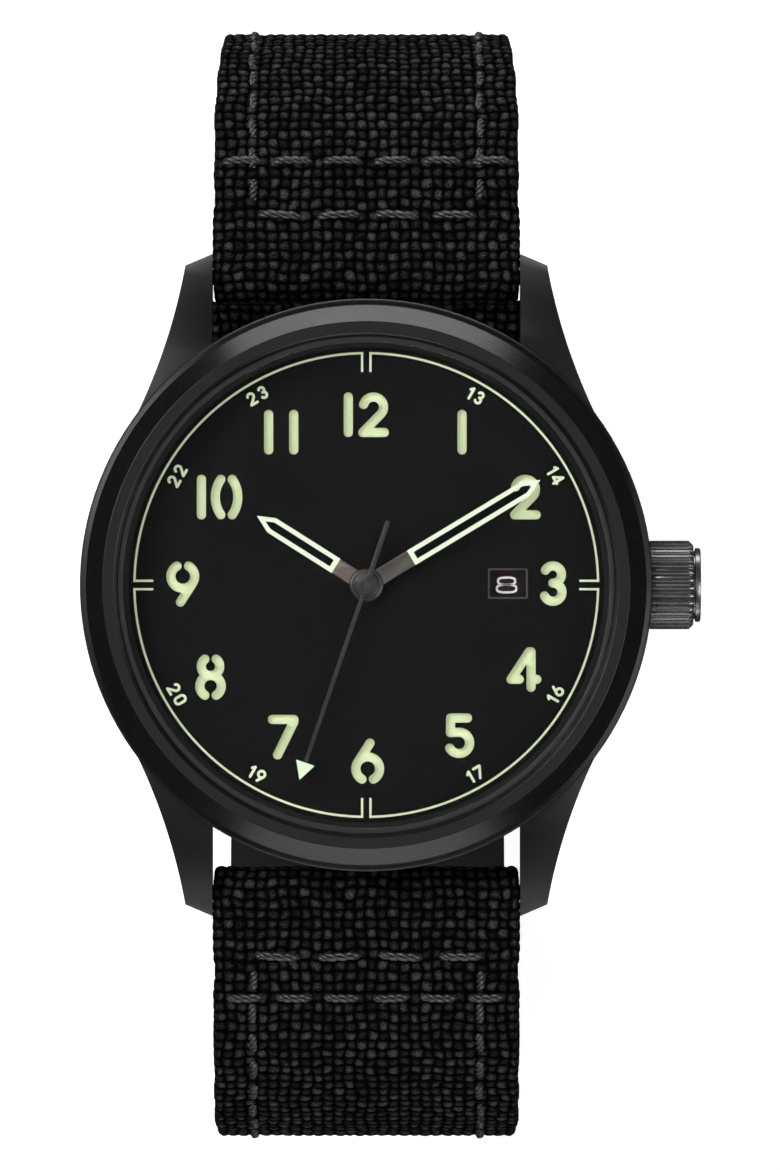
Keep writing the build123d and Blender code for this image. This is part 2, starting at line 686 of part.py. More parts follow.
def hand_lume(length, lume_start, bottom, angle):
    """The luminous border on top of a hand, round its open slot."""
    inner_width = HAND_WIDTH - 2 * LUME_BORDER
    half = HAND_WIDTH / 2
    tip_back = LUME_BORDER * hypot(HAND_POINT, half) / half
    edge_back = LUME_INSET * hypot(HAND_POINT, half) / half
    field = hand_slot(length - edge_back, lume_start, HAND_WIDTH - 2 * LUME_INSET)
    field -= hand_slot(length - tip_back, lume_start + LUME_BORDER, inner_width)
    return Rot(0, 0, -angle) * Pos(0, 0, bottom + HAND_THICKNESS) * extrude(field, LUME_THICKNESS)


def seconds_hand():
    """Sweep seconds hand with a counterweight tail."""
    end = SECONDS_HAND_LENGTH - TRIANGLE_HEIGHT / 2
    plan = Pos(0, end / 2) * Rectangle(SECONDS_WIDTH, end)
    plan += Pos(0, -SECONDS_TAIL / 2) * Rectangle(SECONDS_TAIL_WIDTH, SECONDS_TAIL)
    plan += Circle(SECONDS_HUB_RADIUS)
    plan -= Circle(FOURTH_ARBOR_RADIUS)
    plate = Pos(0, 0, SECONDS_HAND_BOTTOM) * extrude(plan, SECONDS_HAND_THICKNESS)
    return Rot(0, 0, -SECONDS_ANGLE) * plate


def seconds_lume():
    """Pale triangle on the tip of the seconds hand, pointing outwards."""
    base_y = SECONDS_HAND_LENGTH - TRIANGLE_HEIGHT
    half = TRIANGLE_BASE / 2
    plan = make_face(Polyline((-half, base_y), (half, base_y), (0, SECONDS_HAND_LENGTH), close=True))
    bottom = SECONDS_HAND_BOTTOM + SECONDS_HAND_THICKNESS
    return Rot(0, 0, -SECONDS_ANGLE) * Pos(0, 0, bottom) * extrude(plan, TRIANGLE_THICKNESS)


def gear_face(teeth, module, phase=0.0):
    """A toothed outline about the origin, with the middle of one tooth at the phase angle."""
    pitch_radius = teeth * module / 2
    tip = pitch_radius + ADDENDUM_SHARE * module
    root = pitch_radius - DEDENDUM_SHARE * module
    pitch = 360 / teeth
    half_root = pitch * TOOTH_SHARE / 2
    half_tip = half_root * TOOTH_TIP_SHARE
    points = []
    for index in range(teeth):
        middle = phase + index * pitch
        points += [polar(root, middle - half_root), polar(tip, middle - half_tip),
                   polar(tip, middle + half_tip), polar(root, middle + half_root)]
    return make_face(Polyline(*points, close=True))


def meshing_phase(teeth, partner_angle, partner_teeth, partner_phase):
    """The phase that puts this wheel's gap on a partner's tooth along the line of centres.

    partner_angle is the direction from the partner to this wheel.
    """
    partner_pitch = 360 / partner_teeth
    offset = (partner_angle - partner_phase) % partner_pitch / partner_pitch
    return partner_angle + 180 + (0.5 - offset) * 360 / teeth


def toothed(teeth, module, bottom, height, phase=0.0, at=(0.0, 0.0)):
    """A toothed wheel or pinion, standing at a place."""
    return Pos(at[0], at[1], bottom) * extrude(gear_face(teeth, module, phase), height)


CENTRE_DISTANCE = TRAIN_MODULE * (CENTRE_TEETH + SMALL_PINION_TEETH) / 2
THIRD_MODULE = 2 * CENTRE_DISTANCE / (THIRD_TEETH + SMALL_PINION_TEETH)
FIFTH_DISTANCE = TRAIN_MODULE * (FOURTH_TEETH + FIFTH_PINION_TEETH) / 2
ROTOR_DISTANCE = FINE_MODULE * (FIFTH_TEETH + SMALL_PINION_TEETH) / 2
MOTION_DISTANCE = TRAIN_MODULE * (CANNON_TEETH + MINUTE_WHEEL_TEETH) / 2
HOUR_MODULE = 2 * MOTION_DISTANCE / (MINUTE_PINION_TEETH + HOUR_WHEEL_TEETH)
THIRD_PLACE = polar(CENTRE_DISTANCE, THIRD_ANGLE)
FIFTH_PLACE = polar(FIFTH_DISTANCE, FIFTH_ANGLE)
ROTOR_PLACE = polar(FIFTH_DISTANCE + ROTOR_DISTANCE, FIFTH_ANGLE)
MINUTE_WHEEL_PLACE = polar(MOTION_DISTANCE, MINUTE_WHEEL_ANGLE)
THIRD_PHASE = meshing_phase(THIRD_TEETH, THIRD_ANGLE, SMALL_PINION_TEETH, 0)
THIRD_PINION_PHASE = meshing_phase(SMALL_PINION_TEETH, THIRD_ANGLE, CENTRE_TEETH, 0)
FIFTH_PINION_PHASE = meshing_phase(FIFTH_PINION_TEETH, FIFTH_ANGLE, FOURTH_TEETH, 0)
ROTOR_PHASE = meshing_phase(SMALL_PINION_TEETH, FIFTH_ANGLE, FIFTH_TEETH, 0)
MINUTE_WHEEL_PHASE = meshing_phase(MINUTE_WHEEL_TEETH, MINUTE_WHEEL_ANGLE, CANNON_TEETH, 0)
HOUR_WHEEL_PHASE = meshing_phase(HOUR_WHEEL_TEETH, MINUTE_WHEEL_ANGLE + 180, MINUTE_PINION_TEETH, 0)
BRIDGE_TOP = BRIDGE_BOTTOM + BRIDGE_THICKNESS


def arbor(at, bottom=BRIDGE_BOTTOM, top=TRAIN_PIVOT_TOP):
    """The thin shaft of a wheel, from the bridge to the main plate."""
    return disc(PIVOT_RADIUS, bottom, top, at=at)


def centre_wheel():
    """Centre wheel on the tube that carries the cannon pinion by friction."""
    wheel = toothed(CENTRE_TEETH, TRAIN_MODULE, CENTRE_WHEEL_BOTTOM, WHEEL_THICKNESS)
    wheel += disc(CENTRE_TUBE_RADIUS, CENTRE_WHEEL_BOTTOM, CENTRE_TUBE_TOP)
    return wheel - disc(CENTRE_TUBE_BORE, BRIDGE_BOTTOM, SECONDS_HAND_BOTTOM)


def third_wheel():
    wheel = toothed(THIRD_TEETH, THIRD_MODULE, THIRD_WHEEL_BOTTOM, WHEEL_THICKNESS, THIRD_PHASE, THIRD_PLACE)
    pinion_height = CENTRE_WHEEL_BOTTOM + WHEEL_THICKNESS + RUNNING_GAP - THIRD_WHEEL_BOTTOM
    pinion = toothed(SMALL_PINION_TEETH, TRAIN_MODULE, THIRD_WHEEL_BOTTOM, pinion_height,
                     THIRD_PINION_PHASE, THIRD_PLACE)
    return wheel + pinion + arbor(THIRD_PLACE)


def fourth_wheel():
    """Fourth wheel on the long arbor that carries the seconds hand."""
    wheel = toothed(FOURTH_TEETH, TRAIN_MODULE, FOURTH_WHEEL_BOTTOM, WHEEL_THICKNESS)
    pinion_height = THIRD_WHEEL_BOTTOM + WHEEL_THICKNESS + RUNNING_GAP - FOURTH_WHEEL_BOTTOM
    wheel += toothed(SMALL_PINION_TEETH, THIRD_MODULE, FOURTH_WHEEL_BOTTOM, pinion_height)
    wheel += disc(PIVOT_RADIUS, BRIDGE_BOTTOM, FOURTH_WHEEL_BOTTOM)
    return wheel + disc(FOURTH_ARBOR_RADIUS, FOURTH_WHEEL_BOTTOM, SECONDS_HAND_BOTTOM + SECONDS_HAND_THICKNESS)


def fifth_wheel():
    wheel = toothed(FIFTH_TEETH, FINE_MODULE, FIFTH_WHEEL_BOTTOM, WHEEL_THICKNESS, at=FIFTH_PLACE)
    pinion_height = FOURTH_WHEEL_BOTTOM + WHEEL_THICKNESS + RUNNING_GAP - FIFTH_WHEEL_BOTTOM
    pinion = toothed(FIFTH_PINION_TEETH, TRAIN_MODULE, FIFTH_WHEEL_BOTTOM, pinion_height,
                     FIFTH_PINION_PHASE, FIFTH_PLACE)
    return wheel + pinion + arbor(FIFTH_PLACE)


def rotor():
    """Stepping-motor rotor: a magnet and a pinion on one shaft."""
    pinion = toothed(SMALL_PINION_TEETH, FINE_MODULE, ROTOR_PINION_BOTTOM, ROTOR_PINION_HEIGHT,
                     ROTOR_PHASE, ROTOR_PLACE)
    magnet_bottom = STATOR_BOTTOM + (STATOR_THICKNESS - ROTOR_MAGNET_HEIGHT) / 2
    magnet = disc(ROTOR_MAGNET_RADIUS, magnet_bottom, magnet_bottom + ROTOR_MAGNET_HEIGHT, at=ROTOR_PLACE)
    return pinion + magnet + arbor(ROTOR_PLACE)


def cannon_pinion():
    """Tube that carries the minute hand, with the pinion that drives the motion work."""
    top = MINUTE_HAND_BOTTOM + HAND_THICKNESS
    body = toothed(CANNON_TEETH, TRAIN_MODULE, CANNON_TEETH_BOTTOM, CANNON_TEETH_HEIGHT)
    body += disc(CANNON_RADIUS, CANNON_TEETH_BOTTOM, top)
    return body - disc(CANNON_BORE, CANNON_TEETH_BOTTOM, top)


def minute_wheel():
    """Minute wheel and its pinion, on a post of the main plate."""
    wheel = toothed(MINUTE_WHEEL_TEETH, TRAIN_MODULE, CANNON_TEETH_BOTTOM, MINUTE_WHEEL_THICKNESS,
                    MINUTE_WHEEL_PHASE, MINUTE_WHEEL_PLACE)
    wheel += toothed(MINUTE_PINION_TEETH, HOUR_MODULE, CANNON_TEETH_BOTTOM,
                     MINUTE_PINION_TOP - CANNON_TEETH_BOTTOM, at=MINUTE_WHEEL_PLACE)
    return wheel - disc(PIVOT_RADIUS + PIVOT_GAP, CANNON_TEETH_BOTTOM, MINUTE_PINION_TOP, at=MINUTE_WHEEL_PLACE)


def hour_wheel():
    """Hour wheel on the tube that carries the hour hand."""
    top = HOUR_HAND_BOTTOM + HAND_THICKNESS
    wheel = toothed(HOUR_WHEEL_TEETH, HOUR_MODULE, HOUR_WHEEL_BOTTOM, HOUR_WHEEL_THICKNESS, HOUR_WHEEL_PHASE)
    wheel += disc(HOUR_TUBE_RADIUS, HOUR_WHEEL_BOTTOM, top)
    return wheel - disc(HOUR_TUBE_BORE, HOUR_WHEEL_BOTTOM, top)


def main_plate():
    """Movement main plate with the date ring's shelf and rim, pivot holes and the minute wheel post."""
    plate = disc(MOVEMENT_RADIUS, MAIN_PLATE_BOTTOM, MAIN_PLATE_TOP)
    plate += disc(MOVEMENT_RADIUS, MAIN_PLATE_TOP, MAIN_RIM_TOP, bore=MAIN_RIM_INNER)
    plate += disc(MAIN_RIM_INNER, MAIN_PLATE_TOP, DATE_SHELF_TOP, bore=DATE_SHELF_INNER)
    plate += disc(PIVOT_RADIUS, MAIN_PLATE_TOP, MINUTE_PINION_TOP, at=MINUTE_WHEEL_PLACE)
    plate -= disc(CENTRE_TUBE_RADIUS + RUNNING_GAP, MAIN_PLATE_BOTTOM, MAIN_PLATE_TOP)
    for place in (THIRD_PLACE, FIFTH_PLACE, ROTOR_PLACE):
        plate -= disc(PIVOT_RADIUS + PIVOT_GAP, MAIN_PLATE_BOTTOM, TRAIN_PIVOT_TOP + RUNNING_GAP, at=place)
    pocket_start = CLUTCH_X - CLUTCH_SLIDE * 2
    return plate - rod(CLUTCH_RADIUS + CLUTCH_POCKET_GAP, pocket_start, MOVEMENT_RADIUS)


def pillar_places():
    return [polar(PILLAR_REACH, angle) for angle in PILLAR_ANGLES]


def train_bridge():
    """Train bridge with four pillars, pivot holes and a round opening for the battery."""
    bridge = disc(BRIDGE_RADIUS, BRIDGE_BOTTOM, BRIDGE_TOP)
    bridge += [disc(PILLAR_RADIUS, BRIDGE_BOTTOM, MAIN_PLATE_BOTTOM, at=place) for place in pillar_places()]
    bridge -= disc(BATTERY_RADIUS + BATTERY_POCKET_GAP, 0, MAIN_PLATE_BOTTOM, at=(0, BATTERY_Y))
    for place in ((0, 0), THIRD_PLACE, FIFTH_PLACE, ROTOR_PLACE):
        bridge -= disc(PIVOT_RADIUS + PIVOT_GAP, 0, BRIDGE_TOP, at=place)
    for place in pillar_places():
        bridge -= disc(SCREW_RADIUS, 0, BRIDGE_BOTTOM + SCREW_LENGTH, at=place)
    return bridge


def bridge_screws():
    """The four slotted screws of the train bridge, as separate solids."""
    screws = []
    for place in pillar_places():
        head_bottom = BRIDGE_BOTTOM - SCREW_HEAD_HEIGHT
        screw = disc(SCREW_HEAD_RADIUS, head_bottom, BRIDGE_BOTTOM, at=place)
        screw += disc(SCREW_RADIUS, BRIDGE_BOTTOM, BRIDGE_BOTTOM + SCREW_LENGTH, at=place)
        slot = Box(2 * SCREW_HEAD_RADIUS, SCREW_SLOT_WIDTH, SCREW_SLOT_DEPTH, align=BASE)
        screws.append(screw - Pos(place[0], place[1], head_bottom) * slot)
    return Compound(children=screws)


def battery():
    """Silver oxide button cell with its smaller negative cap facing the dial."""
    top = BATTERY_BOTTOM + BATTERY_HEIGHT
    shoulder = top - BATTERY_CAP_HEIGHT
    cell = disc(BATTERY_RADIUS, BATTERY_BOTTOM, shoulder, at=(0, BATTERY_Y))
    return cell + disc(BATTERY_CAP_RADIUS, shoulder, top, at=(0, BATTERY_Y))


def battery_clamp():
    """Flat spring that holds the battery and carries its positive contact."""
    top = BATTERY_BOTTOM - CLAMP_LIFT
    bar = Pos(0, BATTERY_Y, top - CLAMP_THICKNESS) * Box(CLAMP_LENGTH, CLAMP_WIDTH, CLAMP_THICKNESS, align=BASE)
    foot_x = CLAMP_LENGTH / 2 - CLAMP_WIDTH / 4
    foot_height = BRIDGE_BOTTOM - top
    for side in (-1, 1):
        bar += Pos(side * foot_x, BATTERY_Y, top) * Box(CLAMP_WIDTH / 2, CLAMP_WIDTH, foot_height, align=BASE)
    return bar


def coil():
    """Motor coil: the winding round its flat iron core."""
    core_z = STATOR_BOTTOM - CORE_THICKNESS / 2
    core = Pos(COIL_X, COIL_Y, core_z) * Box(CORE_LENGTH, CORE_WIDTH, CORE_THICKNESS)
    winding = Pos(COIL_X, COIL_Y, core_z) * Box(COIL_LENGTH, COIL_WIDTH, COIL_HEIGHT)
    return core + fillet(winding.edges().filter_by(Axis.X), COIL_HEIGHT / 4)


def stator():
    """Flat stator that joins the core's two ends round the rotor."""
    tab = (CORE_LENGTH + COIL_LENGTH) / 4
    rotor_x, rotor_y = ROTOR_PLACE
    plan = Pos(rotor_x, rotor_y) * Circle(STATOR_EYE_RADIUS)
    for end_x in (COIL_X - tab, COIL_X + tab):
        low_y = rotor_y - STATOR_ARM_WIDTH / 2
        high_y = COIL_Y + CORE_WIDTH / 2
        plan += Pos(end_x, (low_y + high_y) / 2) * Rectangle(STATOR_ARM_WIDTH, high_y - low_y)
        run = abs(rotor_x - end_x) + STATOR_ARM_WIDTH / 2
        plan += Pos((rotor_x + end_x) / 2, rotor_y) * Rectangle(run, STATOR_ARM_WIDTH)
    plan -= Pos(rotor_x, rotor_y) * Circle(STATOR_HOLE)
    return Pos(0, 0, STATOR_BOTTOM) * extrude(plan, STATOR_THICKNESS)


def sector(outer, inner, start, sweep):
    """A flat piece of a ring, between two radii and two angles."""
    edges = Curve() + [
        Line(polar(inner, start), polar(outer, start)),
        ThreePointArc(polar(outer, start), polar(outer, start + sweep / 2), polar(outer, start + sweep)),
        Line(polar(outer, start + sweep), polar(inner, start + sweep)),
        ThreePointArc(polar(inner, start + sweep), polar(inner, start + sweep / 2), polar(inner, start)),
    ]
    return make_face(edges)


def circuit_board():
    """Circuit board that lies under the main plate, between two pillars."""
    plate = extrude(sector(BOARD_OUTER, BOARD_INNER, BOARD_START, BOARD_SWEEP), BOARD_THICKNESS)
    return Pos(0, 0, MAIN_PLATE_BOTTOM - BOARD_THICKNESS) * plate


def quartz_can():
    """Quartz resonator in its round can, lying under the circuit board."""
    x, y = polar(QUARTZ_REACH, QUARTZ_ANGLE)
    height = MAIN_PLATE_BOTTOM - BOARD_THICKNESS - QUARTZ_RADIUS
    can = Rot(0, 90, BOARD_START + BOARD_SWEEP / 2) * Cylinder(QUARTZ_RADIUS, QUARTZ_LENGTH)
    return Pos(x, y, height) * can


def movement_ring():
    """Plastic ring that centres the movement in the case, open where the stem passes."""
    ring = turned([
        (RING_LEDGE_RADIUS, RING_LEDGE),
        (RING_BORE, RING_LEDGE),
        (RING_BORE, RING_TOP),
        (RING_INNER_RADIUS, RING_TOP),
        (RING_INNER_RADIUS, MAIN_PLATE_BOTTOM),
        (RING_LEDGE_RADIUS, MAIN_PLATE_BOTTOM),
    ])
    slot_bottom = STEM_HEIGHT - RING_STEM_SLOT / 2
    slot = Pos(RING_LEDGE_RADIUS - OVERRUN, 0, slot_bottom) * Box(
        RING_BORE, RING_STEM_SLOT, RING_STEM_SLOT, align=(Align.MIN, Align.CENTER, Align.MIN))
    return ring - slot


CROWN_START = CASE_RADIUS + CROWN_CASE_GAP
CROWN_END = CROWN_START + CROWN_LENGTH


def crown():
    """Fluted crown with a bore that slides over the crown tube, and a low end cap."""
    barrel = rod(CROWN_RADIUS, CROWN_START, CROWN_END)
    barrel = chamfer(barrel.edges().filter_by(GeomType.CIRCLE).sort_by(Axis.X)[-1], CROWN_EDGE)
    flute = rod(CROWN_FLUTE_RADIUS, CROWN_START - OVERRUN, CROWN_END + OVERRUN, height=CROWN_RADIUS)
    for index in range(CROWN_FLUTES):
        barrel -= Pos(0, 0, STEM_HEIGHT) * Rot(index * 360 / CROWN_FLUTES, 0, 0) * flute
    cap_start = CROWN_END + CROWN_NECK_LENGTH
    cap = rod(CROWN_CAP_RADIUS, cap_start, cap_start + CROWN_CAP_LENGTH)
    cap = chamfer(cap.edges().filter_by(GeomType.CIRCLE).sort_by(Axis.X)[-1], CROWN_CAP_EDGE)
    whole = barrel + rod(CROWN_NECK_RADIUS, CROWN_END - CROWN_EDGE, cap_start) + cap
    whole -= rod(CROWN_BORE, CROWN_START, CROWN_START + CROWN_BORE_DEPTH)
    return whole - rod(STEM_RADIUS, CROWN_START, CROWN_START + CROWN_BORE_DEPTH + STEM_IN_CROWN)


def clutch_pinion():
    """Sliding pinion on the stem that engages the hand-setting train."""
    plan = Circle(CLUTCH_RADIUS)
    for index in range(CLUTCH_TEETH):
        gash = Pos(CLUTCH_RADIUS, 0) * Circle(CLUTCH_TOOTH_DEPTH)
        plan -= Rot(0, 0, index * 360 / CLUTCH_TEETH) * gash
    plan -= Circle(STEM_RADIUS + RUNNING_GAP)
    return Pos(CLUTCH_X, 0, STEM_HEIGHT) * Rot(0, 90, 0) * extrude(plan, CLUTCH_LENGTH)


class StrapLine:
    """The middle line of a strap half in the (y, z) plane, as straight runs and round bends.

    A run is ("straight", length) or ("bend", radius, angle). Bends turn towards the wrist.
    """

    def __init__(self, runs):
        self.runs = runs
        self.start = (BAR_Y, BAR_HEIGHT)
        self.heading = -STRAP_DROOP

    def length(self):
        return sum(run[1] if run[0] == "straight" else run[1] * radians(run[2]) for run in self.runs)

    def at(self, distance):
        """The (y, z) point and the heading at a distance along the line."""
        y, z = self.start
        heading = self.heading
        left = distance
        for run in self.runs:
            size = run[1] if run[0] == "straight" else run[1] * radians(run[2])
            step = min(left, size)
            if run[0] == "straight":
                y += step * cos(radians(heading))
                z += step * sin(radians(heading))
            else:
                turn = degrees(step / run[1])
                centre_y = y + run[1] * sin(radians(heading))
                centre_z = z - run[1] * cos(radians(heading))
                heading -= turn
                y = centre_y - run[1] * sin(radians(heading))
                z = centre_z + run[1] * cos(radians(heading))
            left -= step
            if left <= 0:
                break
        return (y, z), heading

    def place(self, distance, lift=0.0):
        """A location on the line: X across the strap, Y along it, Z out of its outer face."""
        (y, z), heading = self.at(distance)
        frame = Plane(origin=(0, y, z), x_dir=(1, 0, 0),
                      z_dir=(0, -sin(radians(heading)), cos(radians(heading))))
        return frame.location * Pos(0, 0, lift)

    def side(self, offset):
        """The edges of the line moved outwards by an offset, in the (y, z) plane."""
        edges = []
        distance = 0.0
        for run in self.runs:
            size = run[1] if run[0] == "straight" else run[1] * radians(run[2])
            marks = [distance, distance + size / 2, distance + size]
            points = []
            for mark in marks:
                (y, z), heading = self.at(mark)
                points.append((y - offset * sin(radians(heading)), z + offset * cos(radians(heading))))
            if run[0] == "straight":
                edges.append(Line(points[0], points[2]))
            else:
                edges.append(ThreePointArc(*points))
            distance += size
        return edges

    def ribbon(self, thickness, width):
        """The strap half as a closed solid of even width."""
        half = thickness / 2
        outer = self.side(half)
        inner = self.side(-half)
        ends = [Line(outer[0] @ 0, inner[0] @ 0), Line(outer[-1] @ 1, inner[-1] @ 1)]
        face = make_face(Plane.YZ * (Curve() + outer + inner + ends))
        return extrude(face, width / 2, both=True)


SHORT_LINE = StrapLine([
    ("straight", STRAP_LEAD), ("bend", SHOULDER_BEND, 90 - STRAP_DROOP + STRAP_LEAN),
    ("straight", SHORT_DROP), ("bend", SHORT_BEND, 90 - STRAP_LEAN), ("straight", SHORT_FLAT),
])
LONG_LINE = StrapLine([
    ("straight", STRAP_LEAD), ("bend", SHOULDER_BEND, 90 - STRAP_DROOP + STRAP_LEAN),
    ("straight", LONG_DROP), ("bend", LONG_BEND, 90 - STRAP_LEAN), ("straight", LONG_FLAT),
])


def taper():
    """The block that gives the long strap half its width, narrower at the far side of the wrist."""
    half = STRAP_WIDTH / 2
    far = STRAP_FAR_WIDTH / 2
    outline = Polyline((-half, CASE_TOP), (-half, STRAP_TAPER_TOP), (-far, STRAP_TAPER_BOTTOM),
                       (-far, STRAP_TAPER_BOTTOM - OVERRUN), (far, STRAP_TAPER_BOTTOM - OVERRUN),
                       (far, STRAP_TAPER_BOTTOM), (half, STRAP_TAPER_TOP), (half, CASE_TOP), close=True)
    return extrude(make_face(Plane.XZ * outline), 3 * CASE_RADIUS, both=True)


def fold(place):
    """The end of a strap half folded round a bar: a barrel as wide as the strap."""
    return place * Rot(0, 90, 0) * Cylinder(FOLD_RADIUS, STRAP_WIDTH)


def strap_short():
    """The strap half at 12 o'clock, which carries the buckle."""
    end = SHORT_LINE.length()
    strap = SHORT_LINE.ribbon(STRAP_THICKNESS, STRAP_WIDTH)
    strap += [fold(SHORT_LINE.place(0)), fold(SHORT_LINE.place(end))]
    for distance in (0, end):
        strap -= SHORT_LINE.place(distance) * Rot(0, 90, 0) * Cylinder(FOLD_BORE, STRAP_WIDTH + OVERRUN)
    slot_width = TONGUE_WIDTH + 2 * TONGUE_SLOT_GAP
    slot = Box(slot_width, 2 * (TONGUE_EYE + OVERRUN), 2 * (FOLD_RADIUS + OVERRUN))
    return strap - SHORT_LINE.place(end) * slot


def strap_long():
    """The strap half at 6 o'clock, with a rounded tip and the holes for the tongue."""
    end = LONG_LINE.length()
    strap = LONG_LINE.ribbon(STRAP_THICKNESS, STRAP_WIDTH)
    strap += fold(LONG_LINE.place(0))
    strap &= taper()
    strap -= LONG_LINE.place(0) * Rot(0, 90, 0) * Cylinder(FOLD_BORE, STRAP_WIDTH + OVERRUN)
    corner = STRAP_TIP_RADIUS
    half = STRAP_FAR_WIDTH / 2
    block = Box(2 * corner, 2 * corner, 2 * STRAP_THICKNESS)
    round_off = Cylinder(corner, 2 * STRAP_THICKNESS)
    for side in (-1, 1):
        centre = LONG_LINE.place(end) * Pos(side * (half - corner), -corner, 0)
        strap -= centre * (Pos(side * corner, corner, 0) * block - round_off)
    for index in range(STRAP_HOLE_COUNT):
        place = LONG_LINE.place(end - STRAP_HOLE_FROM_TIP - index * STRAP_HOLE_PITCH)
        strap -= place * Cylinder(STRAP_HOLE_RADIUS, 2 * STRAP_THICKNESS)
    return mirrored_y(strap)


def keeper(distance):
    """A keeper loop round the short strap half, with room for the long half outside it."""
    width = STRAP_WIDTH + 2 * KEEPER_SIDE_GAP
    inner = STRAP_THICKNESS + KEEPER_SNUG_GAP + KEEPER_LOOSE_GAP
    lift = (KEEPER_LOOSE_GAP - KEEPER_SNUG_GAP) / 2
    loop = Box(width + 2 * KEEPER_WALL, KEEPER_LENGTH, inner + 2 * KEEPER_WALL)
    loop -= Box(width, KEEPER_LENGTH, inner)
    return SHORT_LINE.place(distance, lift) * loop


def spring_bar_tube(side):
    """The tube of a spring bar, from lug to lug."""
    reach = LUG_GAP / 2 - BAR_END_GAP
    return Pos(0, side * BAR_Y, 0) * rod(BAR_RADIUS, -reach, reach, BAR_HEIGHT, BAR_BORE)


def spring_bar_tip(side, end):
    """One sprung tip of a spring bar, reaching into its lug."""
    outer = LUG_GAP / 2 + TIP_IN_LUG - RUNNING_GAP
    tip = Pos(0, side * BAR_Y, 0) * rod(TIP_RADIUS, outer - TIP_LENGTH, outer, BAR_HEIGHT)
    return tip if end > 0 else mirrored_x(tip)


def buckle_frame():
    """Buckle frame: a rounded rectangle that the long strap half passes through."""
    place = SHORT_LINE.place(SHORT_LINE.length())
    length = BUCKLE_FRONT + BUCKLE_BACK
    middle = (BUCKLE_FRONT - BUCKLE_BACK) / 2
    outer = RectangleRounded(BUCKLE_INNER_WIDTH + 2 * BUCKLE_WALL, length, BUCKLE_CORNER)
    inner = Pos(0, -BUCKLE_WALL) * Rectangle(BUCKLE_INNER_WIDTH, length)
    frame = Pos(0, middle, -BUCKLE_THICKNESS / 2) * extrude(outer - inner, BUCKLE_THICKNESS)
    frame -= Rot(0, 90, 0) * Cylinder(BAR_RADIUS, BUCKLE_INNER_WIDTH + 2 * BUCKLE_BAR_SEAT)
    seat_y = BUCKLE_FRONT - BUCKLE_WALL
    seat_width = TONGUE_WIDTH + 2 * TONGUE_SLOT_GAP
    seat = Pos(0, seat_y, BUCKLE_THICKNESS / 2 - TONGUE_SEAT_DEPTH) * Box(
        seat_width, 2 * BUCKLE_WALL + OVERRUN, TONGUE_SEAT_DEPTH, align=BASE)
    return place * (frame - seat)


def buckle_bar():
    """Spring bar that joins the buckle frame, the tongue and the short strap half."""
    place = SHORT_LINE.place(SHORT_LINE.length())
    return place * Rot(0, 90, 0) * Cylinder(BAR_RADIUS, BUCKLE_INNER_WIDTH + 2 * BUCKLE_BAR_SEAT)


def buckle_tongue():
    """Tongue: an eye round the bar and a flat prong that rests on the frame's front bar."""
    place = SHORT_LINE.place(SHORT_LINE.length())
    eye = Rot(0, 90, 0) * Cylinder(TONGUE_EYE, TONGUE_WIDTH)
    reach = BUCKLE_FRONT + TONGUE_OVERHANG
    bottom = BUCKLE_THICKNESS / 2 - TONGUE_SEAT_DEPTH + RUNNING_GAP
    prong = Pos(0, reach / 2, bottom) * Box(TONGUE_WIDTH, reach, TONGUE_THICKNESS, align=BASE)
    bore = Rot(0, 90, 0) * Cylinder(FOLD_BORE, TONGUE_WIDTH + OVERRUN)
    return place * (eye + prong - bore)


def calendar_plate():
    """Thin plate that holds the date ring and the motion work down."""
    top = CALENDAR_PLATE_BOTTOM + CALENDAR_PLATE_THICKNESS
    return disc(CALENDAR_PLATE_RADIUS, CALENDAR_PLATE_BOTTOM, top, bore=HAND_HOLE_RADIUS)


